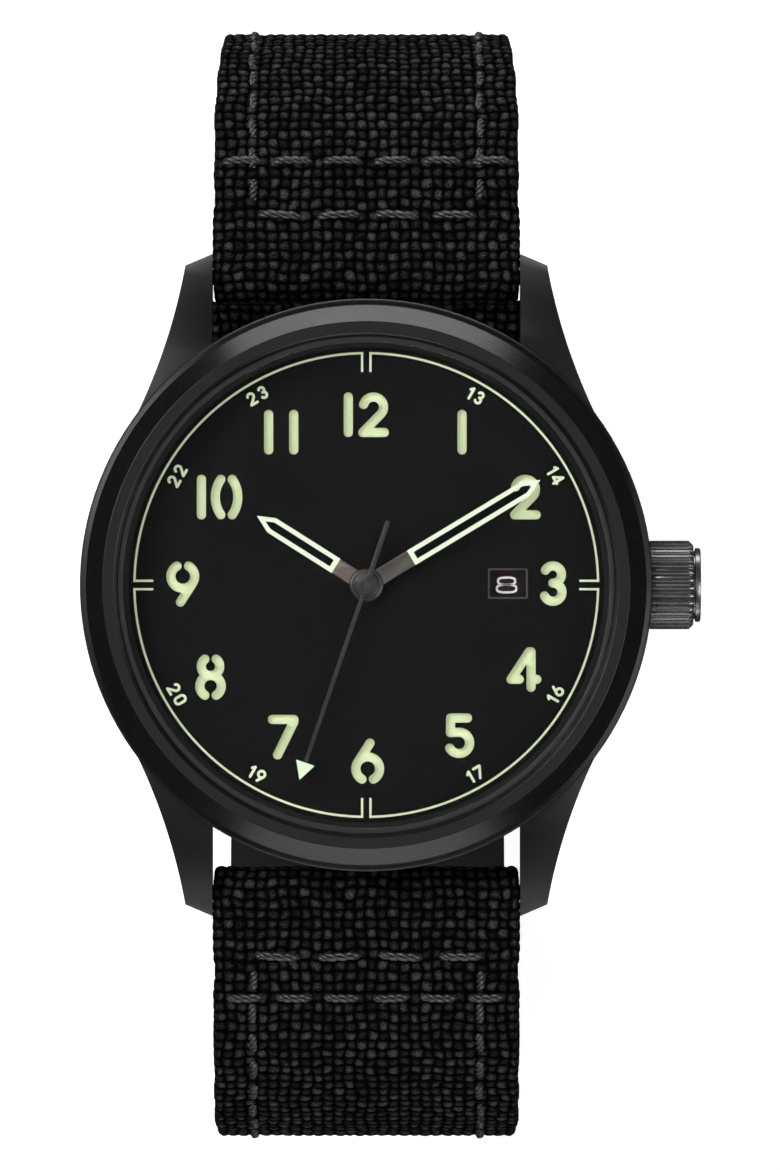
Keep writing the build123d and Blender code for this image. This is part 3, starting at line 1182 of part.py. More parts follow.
def pieces():
    """Every sub-part of the watch, by name."""
    parts = {
        "mid_case": mid_case(),
        "bezel": bezel(),
        "crystal": crystal(),
        "crystal_gasket": disc(BEZEL_LIP_RADIUS, GASKET_BOTTOM, GASKET_TOP, bore=CRYSTAL_RADIUS),
        "inner_flange": inner_flange(),
        "case_back": case_back(),
        "case_back_gasket": disc(BACK_GASKET_OUTER, BACK_FLANGE_TOP, GASKET_RECESS_TOP, bore=BACK_GASKET_INNER),
        "dial_plate": dial_plate(),
        "lume_disc": lume_disc(),
        "dial_print": dial_print(),
        "date_window_frame": date_window_frame(),
        "date_ring": date_ring(),
        "calendar_plate": calendar_plate(),
        "hour_hand": sword_hand(HOUR_HAND_LENGTH, HOUR_LUME_START, HOUR_HAND_BOTTOM, HOUR_TUBE_RADIUS, HOUR_ANGLE),
        "hour_hand_lume": hand_lume(HOUR_HAND_LENGTH, HOUR_LUME_START, HOUR_HAND_BOTTOM, HOUR_ANGLE),
        "minute_hand": sword_hand(MINUTE_HAND_LENGTH, MINUTE_LUME_START, MINUTE_HAND_BOTTOM, CANNON_RADIUS,
                                  MINUTE_ANGLE),
        "minute_hand_lume": hand_lume(MINUTE_HAND_LENGTH, MINUTE_LUME_START, MINUTE_HAND_BOTTOM, MINUTE_ANGLE),
        "seconds_hand": seconds_hand(),
        "seconds_hand_lume": seconds_lume(),
        "crown": crown(),
        "crown_tube": rod(TUBE_RADIUS, TUBE_INNER_X, TUBE_OUTER_X, bore=TUBE_BORE),
        "crown_gasket": rod(CROWN_BORE, CROWN_GASKET_X, CROWN_GASKET_X + CROWN_GASKET_LENGTH,
                            bore=TUBE_RADIUS + RUNNING_GAP),
        "stem": rod(STEM_RADIUS, STEM_INNER_X, CROWN_START + CROWN_BORE_DEPTH + STEM_IN_CROWN),
        "clutch_pinion": clutch_pinion(),
        "movement_ring": movement_ring(),
        "main_plate": main_plate(),
        "train_bridge": train_bridge(),
        "bridge_screws": bridge_screws(),
        "battery": battery(),
        "battery_clamp": battery_clamp(),
        "coil": coil(),
        "stator": stator(),
        "rotor": rotor(),
        "fifth_wheel": fifth_wheel(),
        "fourth_wheel": fourth_wheel(),
        "third_wheel": third_wheel(),
        "centre_wheel": centre_wheel(),
        "cannon_pinion": cannon_pinion(),
        "minute_wheel": minute_wheel(),
        "hour_wheel": hour_wheel(),
        "circuit_board": circuit_board(),
        "quartz_can": quartz_can(),
        "strap_short": strap_short(),
        "strap_long": strap_long(),
        "fixed_keeper": keeper(SHORT_LINE.length() - FIXED_KEEPER_BACK),
        "free_keeper": keeper(SHORT_LINE.length() - FREE_KEEPER_BACK),
        "buckle_frame": buckle_frame(),
        "buckle_bar": buckle_bar(),
        "buckle_tongue": buckle_tongue(),
    }
    for side, hour in ((1, "12"), (-1, "6")):
        parts[f"spring_bar_{hour}"] = spring_bar_tube(side)
        for end, name in ((1, "right"), (-1, "left")):
            parts[f"spring_bar_{hour}_{name}_tip"] = spring_bar_tip(side, end)
    return parts


def main():
    os.makedirs("parts", exist_ok=True)
    for name, shape in pieces().items():
        export_step(shape, f"parts/{name}.step")


main()
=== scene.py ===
"""Field watch scene: a black steel case, a sandwich dial and a woven canvas strap.

Metres in the frame's own axes: +Z out of the dial, +Y to 12 o'clock, +X to the crown. Sizes in
the classes are in millimetres and are turned into metres where a mesh is made.
"""
import logging
import math
from dataclasses import dataclass, field
from enum import Enum

import bmesh
import bpy
import numpy as np
from mathutils import Matrix, Vector


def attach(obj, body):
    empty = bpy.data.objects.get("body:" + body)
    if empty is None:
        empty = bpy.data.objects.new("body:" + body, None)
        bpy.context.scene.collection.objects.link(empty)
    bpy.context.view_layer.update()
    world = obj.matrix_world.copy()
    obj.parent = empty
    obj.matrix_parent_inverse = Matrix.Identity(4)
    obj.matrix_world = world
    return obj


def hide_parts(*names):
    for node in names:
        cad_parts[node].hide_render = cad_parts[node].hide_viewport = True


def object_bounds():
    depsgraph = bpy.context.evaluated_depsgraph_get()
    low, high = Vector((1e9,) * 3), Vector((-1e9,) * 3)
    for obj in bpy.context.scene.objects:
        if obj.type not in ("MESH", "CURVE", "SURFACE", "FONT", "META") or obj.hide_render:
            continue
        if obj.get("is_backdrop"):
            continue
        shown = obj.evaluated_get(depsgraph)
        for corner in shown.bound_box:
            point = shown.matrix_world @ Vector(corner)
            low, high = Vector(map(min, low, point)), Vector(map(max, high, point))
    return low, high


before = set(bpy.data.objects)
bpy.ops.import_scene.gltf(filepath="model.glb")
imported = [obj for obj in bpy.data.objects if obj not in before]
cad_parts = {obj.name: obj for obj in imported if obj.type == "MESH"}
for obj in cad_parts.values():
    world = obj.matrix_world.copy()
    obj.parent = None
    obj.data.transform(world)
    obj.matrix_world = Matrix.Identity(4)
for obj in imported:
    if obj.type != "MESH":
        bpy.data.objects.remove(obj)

LOG = logging.getLogger("field_watch")
MM = 0.001
WELD = 0.002 * MM
STEP = 0.1
TINY = 1e-6
EDGE_ANGLE = 28
SMOOTH_ANGLE = 24
WHITE = (1, 1, 1, 1)
BLACK = (0, 0, 0, 1)
STITCH_ATTRIBUTES = ("facing", "stretch")

Outline = list[tuple[float, float]]
Rgb = tuple[float, float, float]


class Grain(Enum):
    """How a surface was worked, which sets the lie of its fine marks."""

    BLASTED = "blasted"
    BRUSHED = "brushed"
    TURNED = "turned"
    MOULDED = "moulded"


# ---------------------------------------------------------------------------------------------
# Shader building
# ---------------------------------------------------------------------------------------------


class Bench:
    """A node tree under work, for a material or for Geometry Nodes."""

    def __init__(self, tree: bpy.types.NodeTree) -> None:
        """Keeps the tree at hand."""
        self.tree = tree

    def link(self, source: object, target: bpy.types.NodeSocket) -> None:
        """Joins a socket to an input, or sets a plain value on it.

        Args:
            source: An output socket or a value.
            target: The input.
        """
        if isinstance(source, bpy.types.NodeSocket):
            self.tree.links.new(source, target)
        else:
            target.default_value = source

    def math(self, operation: str, first: object, second: object = 0.0) -> bpy.types.NodeSocket:
        """A Math node on sockets or numbers.

        Args:
            operation: Blender's name for the sum.
            first: The first value.
            second: The second value.

        Returns:
            The result.
        """
        made = self.tree.nodes.new("ShaderNodeMath")
        made.operation = operation
        for socket, value in zip(made.inputs, (first, second)):
            self.link(value, socket)
        return made.outputs[0]


class ShaderBench(Bench):
    """Lays out the nodes of one material."""

    def __init__(self, name: str) -> None:
        """Starts a material with an output and no shader.

        Args:
            name: The material's name.
        """
        self.material = bpy.data.materials.new(name)
        self.material.use_nodes = True
        super().__init__(self.material.node_tree)
        self.tree.nodes.clear()
        self.output = self.tree.nodes.new("ShaderNodeOutputMaterial")

    def node(self, kind: str, **values: object) -> bpy.types.Node:
        """Adds a node and sets its properties.

        Args:
            kind: The node's type, without the ShaderNode part.
            **values: Properties of the node.

        Returns:
            The new node.
        """
        made = self.tree.nodes.new("ShaderNode" + kind)
        for key, value in values.items():
            setattr(made, key, value)
        return made

    def mapped(self, vector: bpy.types.NodeSocket, scale: tuple[float, float, float],
               turn: float = 0.0) -> bpy.types.NodeSocket:
        """A vector turned about Z and then stretched.

        Args:
            vector: The vector.
            scale: Stretch on each axis.
            turn: Turn in degrees.

        Returns:
            The vector socket.
        """
        made = self.node("Mapping")
        made.inputs["Rotation"].default_value = (0, 0, math.radians(turn))
        made.inputs["Scale"].default_value = scale
        self.link(vector, made.inputs["Vector"])
        return made.outputs["Vector"]

    def place(self, scale: tuple[float, float, float], turn: float = 0.0) -> bpy.types.NodeSocket:
        """Object coordinates in millimetres, stretched and turned about Z.

        Args:
            scale: How many pattern units go in a millimetre, on each axis.
            turn: Turn about Z, in degrees, made before the stretch.

        Returns:
            The vector socket.
        """
        source = self.node("TexCoord").outputs["Object"]
        return self.mapped(self.mapped(source, (1 / MM, 1 / MM, 1 / MM), turn), scale)

    def rings(self, per_mm: float) -> bpy.types.NodeSocket:
        """A vector that changes only with the distance from the watch's own axis.

        Args:
            per_mm: Pattern units in a millimetre of radius.

        Returns:
            The vector socket.
        """
        joined = self.node("CombineXYZ")
        self.link(self.length(self.place((per_mm, per_mm, 0.0))), joined.inputs["X"])
        return joined.outputs["Vector"]

    def length(self, vector: bpy.types.NodeSocket) -> bpy.types.NodeSocket:
        """The length of a vector.

        Args:
            vector: The vector.

        Returns:
            The value socket.
        """
        made = self.node("VectorMath", operation="LENGTH")
        self.link(vector, made.inputs[0])
        return made.outputs["Value"]

    def noise(self, vector: bpy.types.NodeSocket, scale: float = 1.0, detail: float = 3.0) -> bpy.types.NodeSocket:
        """A noise value between 0 and 1.

        Args:
            vector: Where the pattern is read.
            scale: Pattern units per unit of the vector.
            detail: How many finer layers are added.

        Returns:
            The value socket.
        """
        made = self.node("TexNoise")
        made.inputs["Scale"].default_value = scale
        made.inputs["Detail"].default_value = detail
        self.link(vector, made.inputs["Vector"])
        return made.outputs["Fac"]

    def grain(self, per_mm: float, detail: float) -> bpy.types.NodeSocket:
        """Noise that lies evenly over the piece, with so many pattern units in a millimetre."""
        return self.noise(self.place((per_mm, per_mm, per_mm)), 1.0, detail)

    def between(self, value: bpy.types.NodeSocket, low: float, high: float,
                start: float = 0.25, end: float = 0.75) -> bpy.types.NodeSocket:
        """Maps a value onto a range.

        Args:
            value: What is mapped.
            low: Result at start.
            high: Result at end.
            start: Value that gives low.
            end: Value that gives high.

        Returns:
            The mapped socket.
        """
        made = self.node("MapRange")
        for key, number in (("From Min", start), ("From Max", end), ("To Min", low), ("To Max", high)):
            made.inputs[key].default_value = number
        self.link(value, made.inputs["Value"])
        return made.outputs["Result"]

    def tint(self, value: bpy.types.NodeSocket, dark: Rgb, light: Rgb) -> bpy.types.NodeSocket:
        """A colour between two colours.

        Args:
            value: 0 for the dark colour, 1 for the light one.
            dark: The dark colour.
            light: The light colour.

        Returns:
            The colour socket.
        """
        made = self.node("Mix", data_type="RGBA")
        made.inputs["A"].default_value = (*dark, 1)
        made.inputs["B"].default_value = (*light, 1)
        self.link(value, made.inputs["Factor"])
        return made.outputs["Result"]

    def mix(self, kind: str, share: bpy.types.NodeSocket, first: bpy.types.NodeSocket,
            second: bpy.types.NodeSocket) -> bpy.types.NodeSocket:
        """A number or a colour between those of two sockets.

        Args:
            kind: FLOAT or RGBA.
            share: 0 for the first, 1 for the second.
            first: The first socket.
            second: The second socket.

        Returns:
            The mixed socket.
        """
        made = self.node("Mix", data_type=kind)
        for key, source in (("Factor", share), ("A", first), ("B", second)):
            self.link(source, made.inputs[key])
        return made.outputs["Result"]

    def bump(self, height: bpy.types.NodeSocket, depth: float, strength: float = 1.0) -> bpy.types.NodeSocket:
        """A bumped normal.

        Args:
            height: Height between 0 and 1.
            depth: What 1 stands for, in millimetres.
            strength: Share of the effect.

        Returns:
            The normal socket.
        """
        made = self.node("Bump")
        made.inputs["Distance"].default_value = depth * MM
        made.inputs["Strength"].default_value = strength
        self.link(height, made.inputs["Height"])
        return made.outputs["Normal"]

    def principled(self, **uniform: object) -> bpy.types.Node:
        """The main shader, with its even values set on its own sockets.

        Args:
            **uniform: Socket names, with _ for a space, and their values.

        Returns:
            The shader node, joined to the output.
        """
        made = self.node("BsdfPrincipled")
        for key, value in uniform.items():
            made.inputs[key.replace("_", " ")].default_value = value
        self.link(made.outputs["BSDF"], self.output.inputs["Surface"])
        return made

    def clear_where(self, share: bpy.types.NodeSocket, shader: bpy.types.Node) -> None:
        """Ends the material in a mix of its shader and a clear one.

        Args:
            share: 0 for the shader, 1 where the surface is clear.
            shader: The main shader.
        """
        made = self.node("MixShader")
        sources = (share, shader.outputs["BSDF"], self.node("BsdfTransparent").outputs["BSDF"])
        for source, socket in zip(sources, made.inputs):
            self.link(source, socket)
        self.link(made.outputs["Shader"], self.output.inputs["Surface"])


def shade(colour: Rgb, share: float) -> Rgb:
    """A colour made darker or lighter by a share."""
    return tuple(min(1.0, part * share) for part in colour)


@dataclass(frozen=True)
class Surface:
    """A worked or moulded surface: colour drift, uneven roughness and fine marks."""

    name: str
    colour: Rgb
    roughness: float
    metallic: float = 0.0
    grain: Grain = Grain.BLASTED
    mark_size: float = 0.12
    mark_depth: float = 0.004
    drift: float = 0.18
    turn: float = 0.0
    specular: float = 0.5
    mark_share: float = 0.6
    cloud_scale: float = 0.21
    brush_stretch: float = 0.03
    smoother: float = 0.06
    rougher: float = 0.08

    def pattern(self, bench: ShaderBench) -> bpy.types.NodeSocket:
        """The height of the fine marks.

        Args:
            bench: The material under work.

        Returns:
            A value socket.
        """
        fine = 1 / self.mark_size
        if self.grain is Grain.BRUSHED:
            return bench.noise(bench.place((fine * self.brush_stretch, fine, fine), self.turn))
        if self.grain is Grain.TURNED:
            return bench.noise(bench.rings(fine))
        if self.grain is Grain.MOULDED:
            return bench.grain(fine, 5.0)
        return bench.grain(fine, 2.0)

    def material(self) -> bpy.types.Material:
        """Builds the material.

        Returns:
            The material.
        """
        bench = ShaderBench(self.name)
        shader = bench.principled(Metallic=self.metallic, Specular_IOR_Level=self.specular)
        marks = self.pattern(bench)
        clouds = bench.grain(self.cloud_scale, 4.0)
        both = bench.math("ADD", bench.math("MULTIPLY", marks, self.mark_share),
                          bench.math("MULTIPLY", clouds, 1 - self.mark_share))
        dark, light = shade(self.colour, 1 - self.drift), shade(self.colour, 1 + self.drift)
        bench.link(bench.tint(bench.between(both, 0, 1, 0.3, 0.7), dark, light), shader.inputs["Base Color"])
        low, high = self.roughness - self.smoother, min(1.0, self.roughness + self.rougher)
        bench.link(bench.between(both, low, high, 0.3, 0.7), shader.inputs["Roughness"])
        bench.link(bench.bump(marks, self.mark_depth), shader.inputs["Normal"])
        return bench.material


@dataclass(frozen=True)
class HandMetal:
    """Brushed hand: marks run along the hand, and in rings on its hub."""

    name: str
    colour: Rgb
    angle: float
    roughness: float = 0.34
    hub_radius: float = 1.25
    hub_rim: float = 0.05
    marks_across: float = 22.0
    marks_along: float = 0.7
    ring_scale: float = 1.35

    def material(self) -> bpy.types.Material:
        """Builds the material.

        Returns:
            The material.
        """
        bench = ShaderBench(self.name)
        shader = bench.principled(Metallic=0.85, Specular_IOR_Level=0.5)
        along = bench.noise(bench.place((self.marks_across, self.marks_along, 1.0), self.angle))
        rings = bench.node("TexWave", wave_type="RINGS", rings_direction="Z")
        rings.inputs["Scale"].default_value = self.ring_scale
        rings.inputs["Distortion"].default_value = 0.0
        bench.link(bench.place((1.0, 1.0, 1.0)), rings.inputs["Vector"])
        away = bench.length(bench.place((1.0, 1.0, 0.0)))
        outside = bench.between(away, 0, 1, self.hub_radius, self.hub_radius + self.hub_rim)
        height = bench.mix("FLOAT", outside, rings.outputs["Fac"], along)
        hand = bench.tint(bench.between(height, 0, 1), shade(self.colour, 0.7), shade(self.colour, 1.25))
        # The hub is the hand's own metal painted far darker: painted shade for the turned hub's darker look.
        hub = bench.tint(bench.between(height, 0, 1), shade(self.colour, 0.22), shade(self.colour, 0.6))
        bench.link(bench.mix("RGBA", outside, hub, hand), shader.inputs["Base Color"])
        bench.link(bench.between(height, self.roughness - 0.06, self.roughness + 0.1), shader.inputs["Roughness"])
        bench.link(bench.bump(height, 0.02, 0.6), shader.inputs["Normal"])
        return bench.material


@dataclass(frozen=True)
class Luminous:
    """Luminous paint: grainy, and made a little bright by itself with emission, a painted glow that stands in for
    light.
    """

    name: str
    colour: Rgb
    glow: float
    grains: float = 9.0

    def material(self) -> bpy.types.Material:
        """Builds the material.

        Returns:
            The material.
        """
        bench = ShaderBench(self.name)
        # Emission_Strength is a painted glow: light painted into the paint so that every figure reads evenly bright.
        shader = bench.principled(Roughness=0.75, Specular_IOR_Level=0.25, Emission_Strength=self.glow)
        grain = bench.grain(self.grains, 3.0)
        colour = bench.tint(bench.between(grain, 0, 1), shade(self.colour, 0.86), self.colour)
        bench.link(colour, shader.inputs["Base Color"])
        bench.link(colour, shader.inputs["Emission Color"])
        bench.link(bench.bump(grain, 0.01, 0.5), shader.inputs["Normal"])
        return bench.material


@dataclass(frozen=True)
class MineralGlass:
    """Clear flat glass with an anti-reflective coat, which lets lamps through."""

    name: str
    roughness: float = 0.0
    index: float = 1.12

    def material(self) -> bpy.types.Material:
        """Builds the material.

        Returns:
            The material.
        """
        bench = ShaderBench(self.name)
        shader = bench.principled(Roughness=self.roughness, IOR=self.index, Transmission_Weight=1.0, Base_Color=WHITE)
        bench.clear_where(bench.node("LightPath").outputs["Is Shadow Ray"], shader)
        return bench.material


@dataclass(frozen=True)
class CanvasCloth:
    """Plain-woven yarn. It reads the piece's own UV map, where one unit is one yarn."""

    name: str
    colour: Rgb
    roughness: float = 0.62
    ply_scale: float = 0.726
    gap_share: float = 0.04
    gloss: float = 0.3
    weft_share: float = 0.55
    weft_lean: float = 62.0
    warp_lean: float = 28.0
    fibre_share: float = 0.45
    lint_scale: float = 7.5
    unevenness: float = 0.12
    gap_slope: float = 1.7
    ply_waver: float = 2.5

    def material(self) -> bpy.types.Material:
        """Builds the material.

        Returns:
            The material.
        """
        bench = ShaderBench(self.name)
        shader = bench.principled()
        uv = bench.node("UVMap").outputs["UV"]
        checker = bench.node("TexChecker")
        checker.inputs["Scale"].default_value = 1.0
        checker.inputs["Color1"].default_value = WHITE
        checker.inputs["Color2"].default_value = BLACK
        bench.link(uv, checker.inputs["Vector"])
        fibres = bench.mix("FLOAT", checker.outputs["Fac"], self.twist(bench, uv, self.weft_lean),
                           self.twist(bench, uv, self.warp_lean))
        lint = bench.noise(uv, self.lint_scale, 4.0)
        cell = bench.node("VectorMath", operation="FLOOR")
        bench.link(uv, cell.inputs[0])
        chance = bench.node("TexWhiteNoise")
        bench.link(cell.outputs["Vector"], chance.inputs["Vector"])
        height = bench.math("ADD", bench.math("MULTIPLY", fibres, self.fibre_share),
                            bench.math("MULTIPLY", lint, 1 - self.fibre_share))
        # The yarn tops are painted lighter and the gaps between yarns darker: a painted highlight on each crown and
        # painted shade in the gaps.
        crown = bench.math("MULTIPLY", self.crown(bench, uv), bench.between(lint, 0.0, 1.9, 0.34, 0.66))
        # One set of yarns is painted darker than the other, as painted shade for how light falls along them. The white
        # noise gives each yarn a random tone.
        yarn = bench.between(checker.outputs["Fac"], self.weft_share, 1.25, 0.0, 1.0)
        weft_shade_and_luck = bench.math("MULTIPLY", yarn, bench.between(chance.outputs["Value"], 0.35, 1.25, 0.0, 1.0))
        painted_sheen_and_tone = bench.math("MULTIPLY", crown, weft_shade_and_luck)
        # The base colour carries that painted highlight and painted shade, down to a small share of the colour in the
        # gaps.
        bench.link(bench.tint(painted_sheen_and_tone, shade(self.colour, self.gap_share), self.colour), shader.inputs["Base Color"])
        bench.link(bench.math("MULTIPLY", painted_sheen_and_tone, self.gloss), shader.inputs["Specular IOR Level"])
        bench.link(bench.between(height, self.roughness + self.unevenness, self.roughness - self.unevenness),
                   shader.inputs["Roughness"])
        bench.link(bench.bump(height, 0.07, 0.8), shader.inputs["Normal"])
        return bench.material

    def crown(self, bench: ShaderBench, uv: bpy.types.NodeSocket) -> bpy.types.NodeSocket:
        """1 on the middle of each yarn's top and 0 in the gaps between yarns: the mask of the painted highlight on the
        crowns and the painted shade in the gaps.

        Args:
            bench: The material under work.
            uv: The UV socket.

        Returns:
            A value socket.
        """
        parts = bench.node("SeparateXYZ")
        bench.link(uv, parts.inputs["Vector"])
        waves = [bench.math("POWER", bench.math("ABSOLUTE", bench.math("SINE", bench.math(
            "MULTIPLY", parts.outputs[axis], math.pi))), self.gap_slope) for axis in ("X", "Y")]
        return bench.math("MULTIPLY", *waves)

    def twist(self, bench: ShaderBench, uv: bpy.types.NodeSocket, lean: float) -> bpy.types.NodeSocket:
        """Slanting lines of the yarn's plies.

        Args:
            bench: The material under work.
            uv: The UV socket.
            lean: The lines' angle in degrees.

        Returns:
            A value socket.
        """
        wave = bench.node("TexWave", wave_type="BANDS", bands_direction="X")
        for key, value in (("Scale", self.ply_scale), ("Distortion", self.ply_waver), ("Detail", 2.0),
                           ("Detail Scale", self.ply_waver), ("Vector", bench.mapped(uv, (1, 1, 1), lean))):
            bench.link(value, wave.inputs[key])
        return wave.outputs["Fac"]


class Finishes:
    """Every finish on the watch, made once and handed out by its key."""

    def __init__(self) -> None:
        """Builds all the materials."""
        black = (0.020, 0.020, 0.021)
        steel = (0.42, 0.42, 0.43)
        brass = (0.56, 0.42, 0.20)
        makers = {
            "case_black": Surface("blasted_black_steel", (0.013, 0.013, 0.0132), 0.36, 0.4, mark_size=0.1,
                                  specular=0.6),
            "bezel_black": Surface("satin_black_bezel", (0.007, 0.007, 0.0071), 0.26, 0.3, Grain.TURNED, 0.07, 0.002,
                                   specular=0.58),
            "flange_black": Surface("matt_black_flange", (0.004, 0.004, 0.0042), 0.6, 0.0, mark_size=0.08,
                                    specular=0.12),
            "crown_gunmetal": Surface("gunmetal_crown", (0.20, 0.20, 0.202), 0.28, 0.9, mark_size=0.09,
                                      mark_depth=0.003),
            "steel": Surface("brushed_steel", steel, 0.3, 1.0, Grain.BRUSHED, 0.05),
            "back_steel": Surface("turned_steel_back", (0.36, 0.36, 0.37), 0.3, 1.0, Grain.TURNED, 0.06, 0.003),
            "black_steel": Surface("black_buckle_steel", (0.035, 0.035, 0.036), 0.36, 0.6, mark_size=0.09),
            "dark_steel": Surface("dark_steel_arbor", (0.05, 0.05, 0.052), 0.35, 0.8, mark_size=0.05),
            "gasket": Surface("rubber_gasket", black, 0.7, 0.0, Grain.MOULDED, 0.1, specular=0.3),
            "dial_black": Surface("matt_dial_paint", (0.0040, 0.0038, 0.0038), 0.75, 0.0, mark_size=0.09, drift=0.12,
                                  specular=0.03),
            "window_black": Surface("window_frame_black", (0.05, 0.05, 0.052), 0.35, 0.6, mark_size=0.08),
            "date_black": Surface("date_ring_black", (0.012, 0.0055, 0.0062), 0.7, 0.0, mark_size=0.1, specular=0.1),
            # The dial print, the luminous fills and the white date print all carry a painted glow (emission) that
            # stands in for light.
            "dial_print": Luminous("dial_print_green", (0.40, 0.455, 0.305), 0.62),
            "luminous": Luminous("luminous_paint", (0.41, 0.47, 0.27), 0.58),
            "hand_luminous": Luminous("hand_luminous_paint", (0.56, 0.62, 0.48), 0.1),
            "pale_lume": Luminous("pale_luminous_tip", (0.55, 0.65, 0.46), 0.06),
            "date_print": Luminous("white_date_print", (0.62, 0.59, 0.585), 0.03),
            "seconds_grey": Surface("seconds_dark_grey", (0.015, 0.015, 0.0152), 0.42, 0.4, Grain.MOULDED, 0.1, 0.002),
            "brass_plate": Surface("plated_brass", brass, 0.32, 1.0, Grain.BRUSHED, 0.06),
            "wheel_brass": Surface("wheel_brass", (0.62, 0.46, 0.20), 0.28, 1.0, Grain.TURNED, 0.06),
            "white_plastic": Surface("white_moulded_plastic", (0.72, 0.71, 0.68), 0.5, 0.0, Grain.MOULDED, 0.2),
            "copper_coil": Surface("copper_winding", (0.60, 0.24, 0.11), 0.35, 1.0, Grain.BRUSHED, 0.05, 0.01, turn=90),
            "circuit": Surface("circuit_board_green", (0.03, 0.16, 0.06), 0.45, 0.0, Grain.MOULDED, 0.15),
            "canvas": CanvasCloth("black_canvas", (0.03, 0.03, 0.0304)),
            # The keepers' canvas is the strap's canvas painted about a third as light: painted shade for the dark
            # between the lugs.
            "shaded_canvas": CanvasCloth("black_keeper_canvas", (0.009, 0.009, 0.0092)),
            "lining": Surface("black_strap_lining", (0.005, 0.0048, 0.0048), 0.7, 0.0, Grain.MOULDED, 0.35, 0.03,
                              specular=0.15),
            "thread": Surface("waxed_black_thread", (0.026, 0.026, 0.0265), 0.36, 0.0, Grain.BRUSHED, 0.06, 0.008,
                              drift=0.4, specular=0.7),
            "crystal_glass": MineralGlass("mineral_glass"),
        }
        self.made = {key: maker.material() for key, maker in makers.items()}
        # Both hands are the same metal. The hour hand's colour is painted nearly twice as light as the minute hand's,
        # as painted light for how each lies to the lamps.
        self.made["hour_metal"] = HandMetal("brushed_hour_hand", (0.15, 0.122, 0.11), 302.3).material()
        self.made["minute_metal"] = HandMetal("brushed_minute_hand", (0.082, 0.077, 0.068), 58.9).material()

    def __getitem__(self, key: str) -> bpy.types.Material:
        """The material of a finish."""
        return self.made[key]


# ---------------------------------------------------------------------------------------------
# Mesh making
# ---------------------------------------------------------------------------------------------


class Workshop:
    """Makes, finishes and hands in the pieces."""

    def __init__(self, finishes: Finishes) -> None:
        """Keeps the finishes at hand.

        Args:
            finishes: The watch's materials.
        """
        self.finishes = finishes

    def piece(self, name: str, mesh: bpy.types.Mesh, finish: str, body: str, slot: str,
              replaces: tuple[str, ...] = ()) -> bpy.types.Object:
        """Turns a mesh into a piece of the watch.

        Args:
            name: The piece's name.
            mesh: Its mesh, in metres and in place.
            finish: Which finish it gets.
            body: The body it rides on.
            slot: A material slot name; not used.
            replaces: CAD nodes that it stands for.

        Returns:
            The object.
        """
        mesh.materials.clear()
        mesh.materials.append(self.finishes[finish])
        made = placed(name, mesh)
        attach(made, body)
        if replaces:
            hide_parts(*replaces)
        LOG.info("%s: %d faces on %s", name, len(mesh.polygons), body)
        return made

    def dress(self, **finishes: str) -> None:
        """Gives CAD nodes their finishes, in all their slots.

        Args:
            **finishes: Which finish each node gets.
        """
        for node, finish in finishes.items():
            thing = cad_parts[node]
            if not thing.material_slots:
                thing.data.materials.append(None)
            for holder in thing.material_slots:
                holder.link = "OBJECT"
                holder.material = self.finishes[finish]
            LOG.info("%s: dressed as %s", node, finish)

    def evaluated(self, source: bpy.types.Object) -> bpy.types.Mesh:
        """The mesh of a working object with its modifiers, and the object put away.

        Args:
            source: A working object that isn't a piece.

        Returns:
            A plain mesh.
        """
        bpy.context.view_layer.update()
        graph = bpy.context.evaluated_depsgraph_get()
        mesh = bpy.data.meshes.new_from_object(source.evaluated_get(graph))
        bpy.data.objects.remove(source)
        return mesh

    def eased_copy(self, node: str, ease: float, steps: int = 2, merge: float = 0.6) -> bpy.types.Mesh:
        """A welded copy of a CAD node with its edges eased.

        Args:
            node: The CAD node.
            ease: Width of the eased edge, in millimetres.
            steps: Segments across it.
            merge: Flat faces within this many degrees are joined first.

        Returns:
            The mesh.
        """
        shape = welded(node)
        bmesh.ops.dissolve_limit(shape, angle_limit=math.radians(merge), verts=shape.verts, edges=shape.edges)
        work = placed(node + "_work", handed_over(shape, node + "_eased"))
        bevel = work.modifiers.new("ease", "BEVEL")
        bevel.width = ease * MM
        bevel.segments = steps
        bevel.limit_method = "ANGLE"
        bevel.angle_limit = math.radians(EDGE_ANGLE)
        bevel.miter_outer = "MITER_ARC"
        made = self.evaluated(work)
        smooth_by_angle(made, SMOOTH_ANGLE)
        return made

    def swollen_copy(self, node: str, swell: float) -> bpy.types.Mesh:
        """A welded copy of a flat upright CAD node whose side faces stand further out.

        Args:
            node: The CAD node.
            swell: How far each side face moves, in millimetres.

        Returns:
            The mesh.
        """
        shape = welded(node)
        shape.normal_update()
        moves = {}
        for point in shape.verts:
            sides = [face.normal for face in point.link_faces if abs(face.normal.z) < 0.5]
            first = sides[0]
            other = min(sides, key=first.dot)
            middle = (first + other).normalized()
            moves[point] = middle * (swell * MM / max(0.5, middle.dot(first)))
        for point, move in moves.items():
            point.co += move
        return handed_over(shape, node + "_swollen")

    def carved(self, mesh: bpy.types.Mesh, cutter: bpy.types.Mesh) -> bpy.types.Mesh:
        """Cuts one closed mesh out of another.

        Args:
            mesh: What is cut.
            cutter: What is taken away.

        Returns:
            The cut mesh.
        """
        tool = placed("cutter", cutter)
        work = placed("carved", mesh)
        cut = work.modifiers.new("cut", "BOOLEAN")
        cut.operation = "DIFFERENCE"
        cut.solver = "EXACT"
        cut.object = tool
        made = self.evaluated(work)
        bpy.data.objects.remove(tool)
        return made


def placed(name: str, data: bpy.types.ID) -> bpy.types.Object:
    """A new object in the scene.

    Args:
        name: Its name.
        data: Its mesh, lamp or camera.

    Returns:
        The object.
    """
    made = bpy.data.objects.new(name, data)
    bpy.context.scene.collection.objects.link(made)
    return made


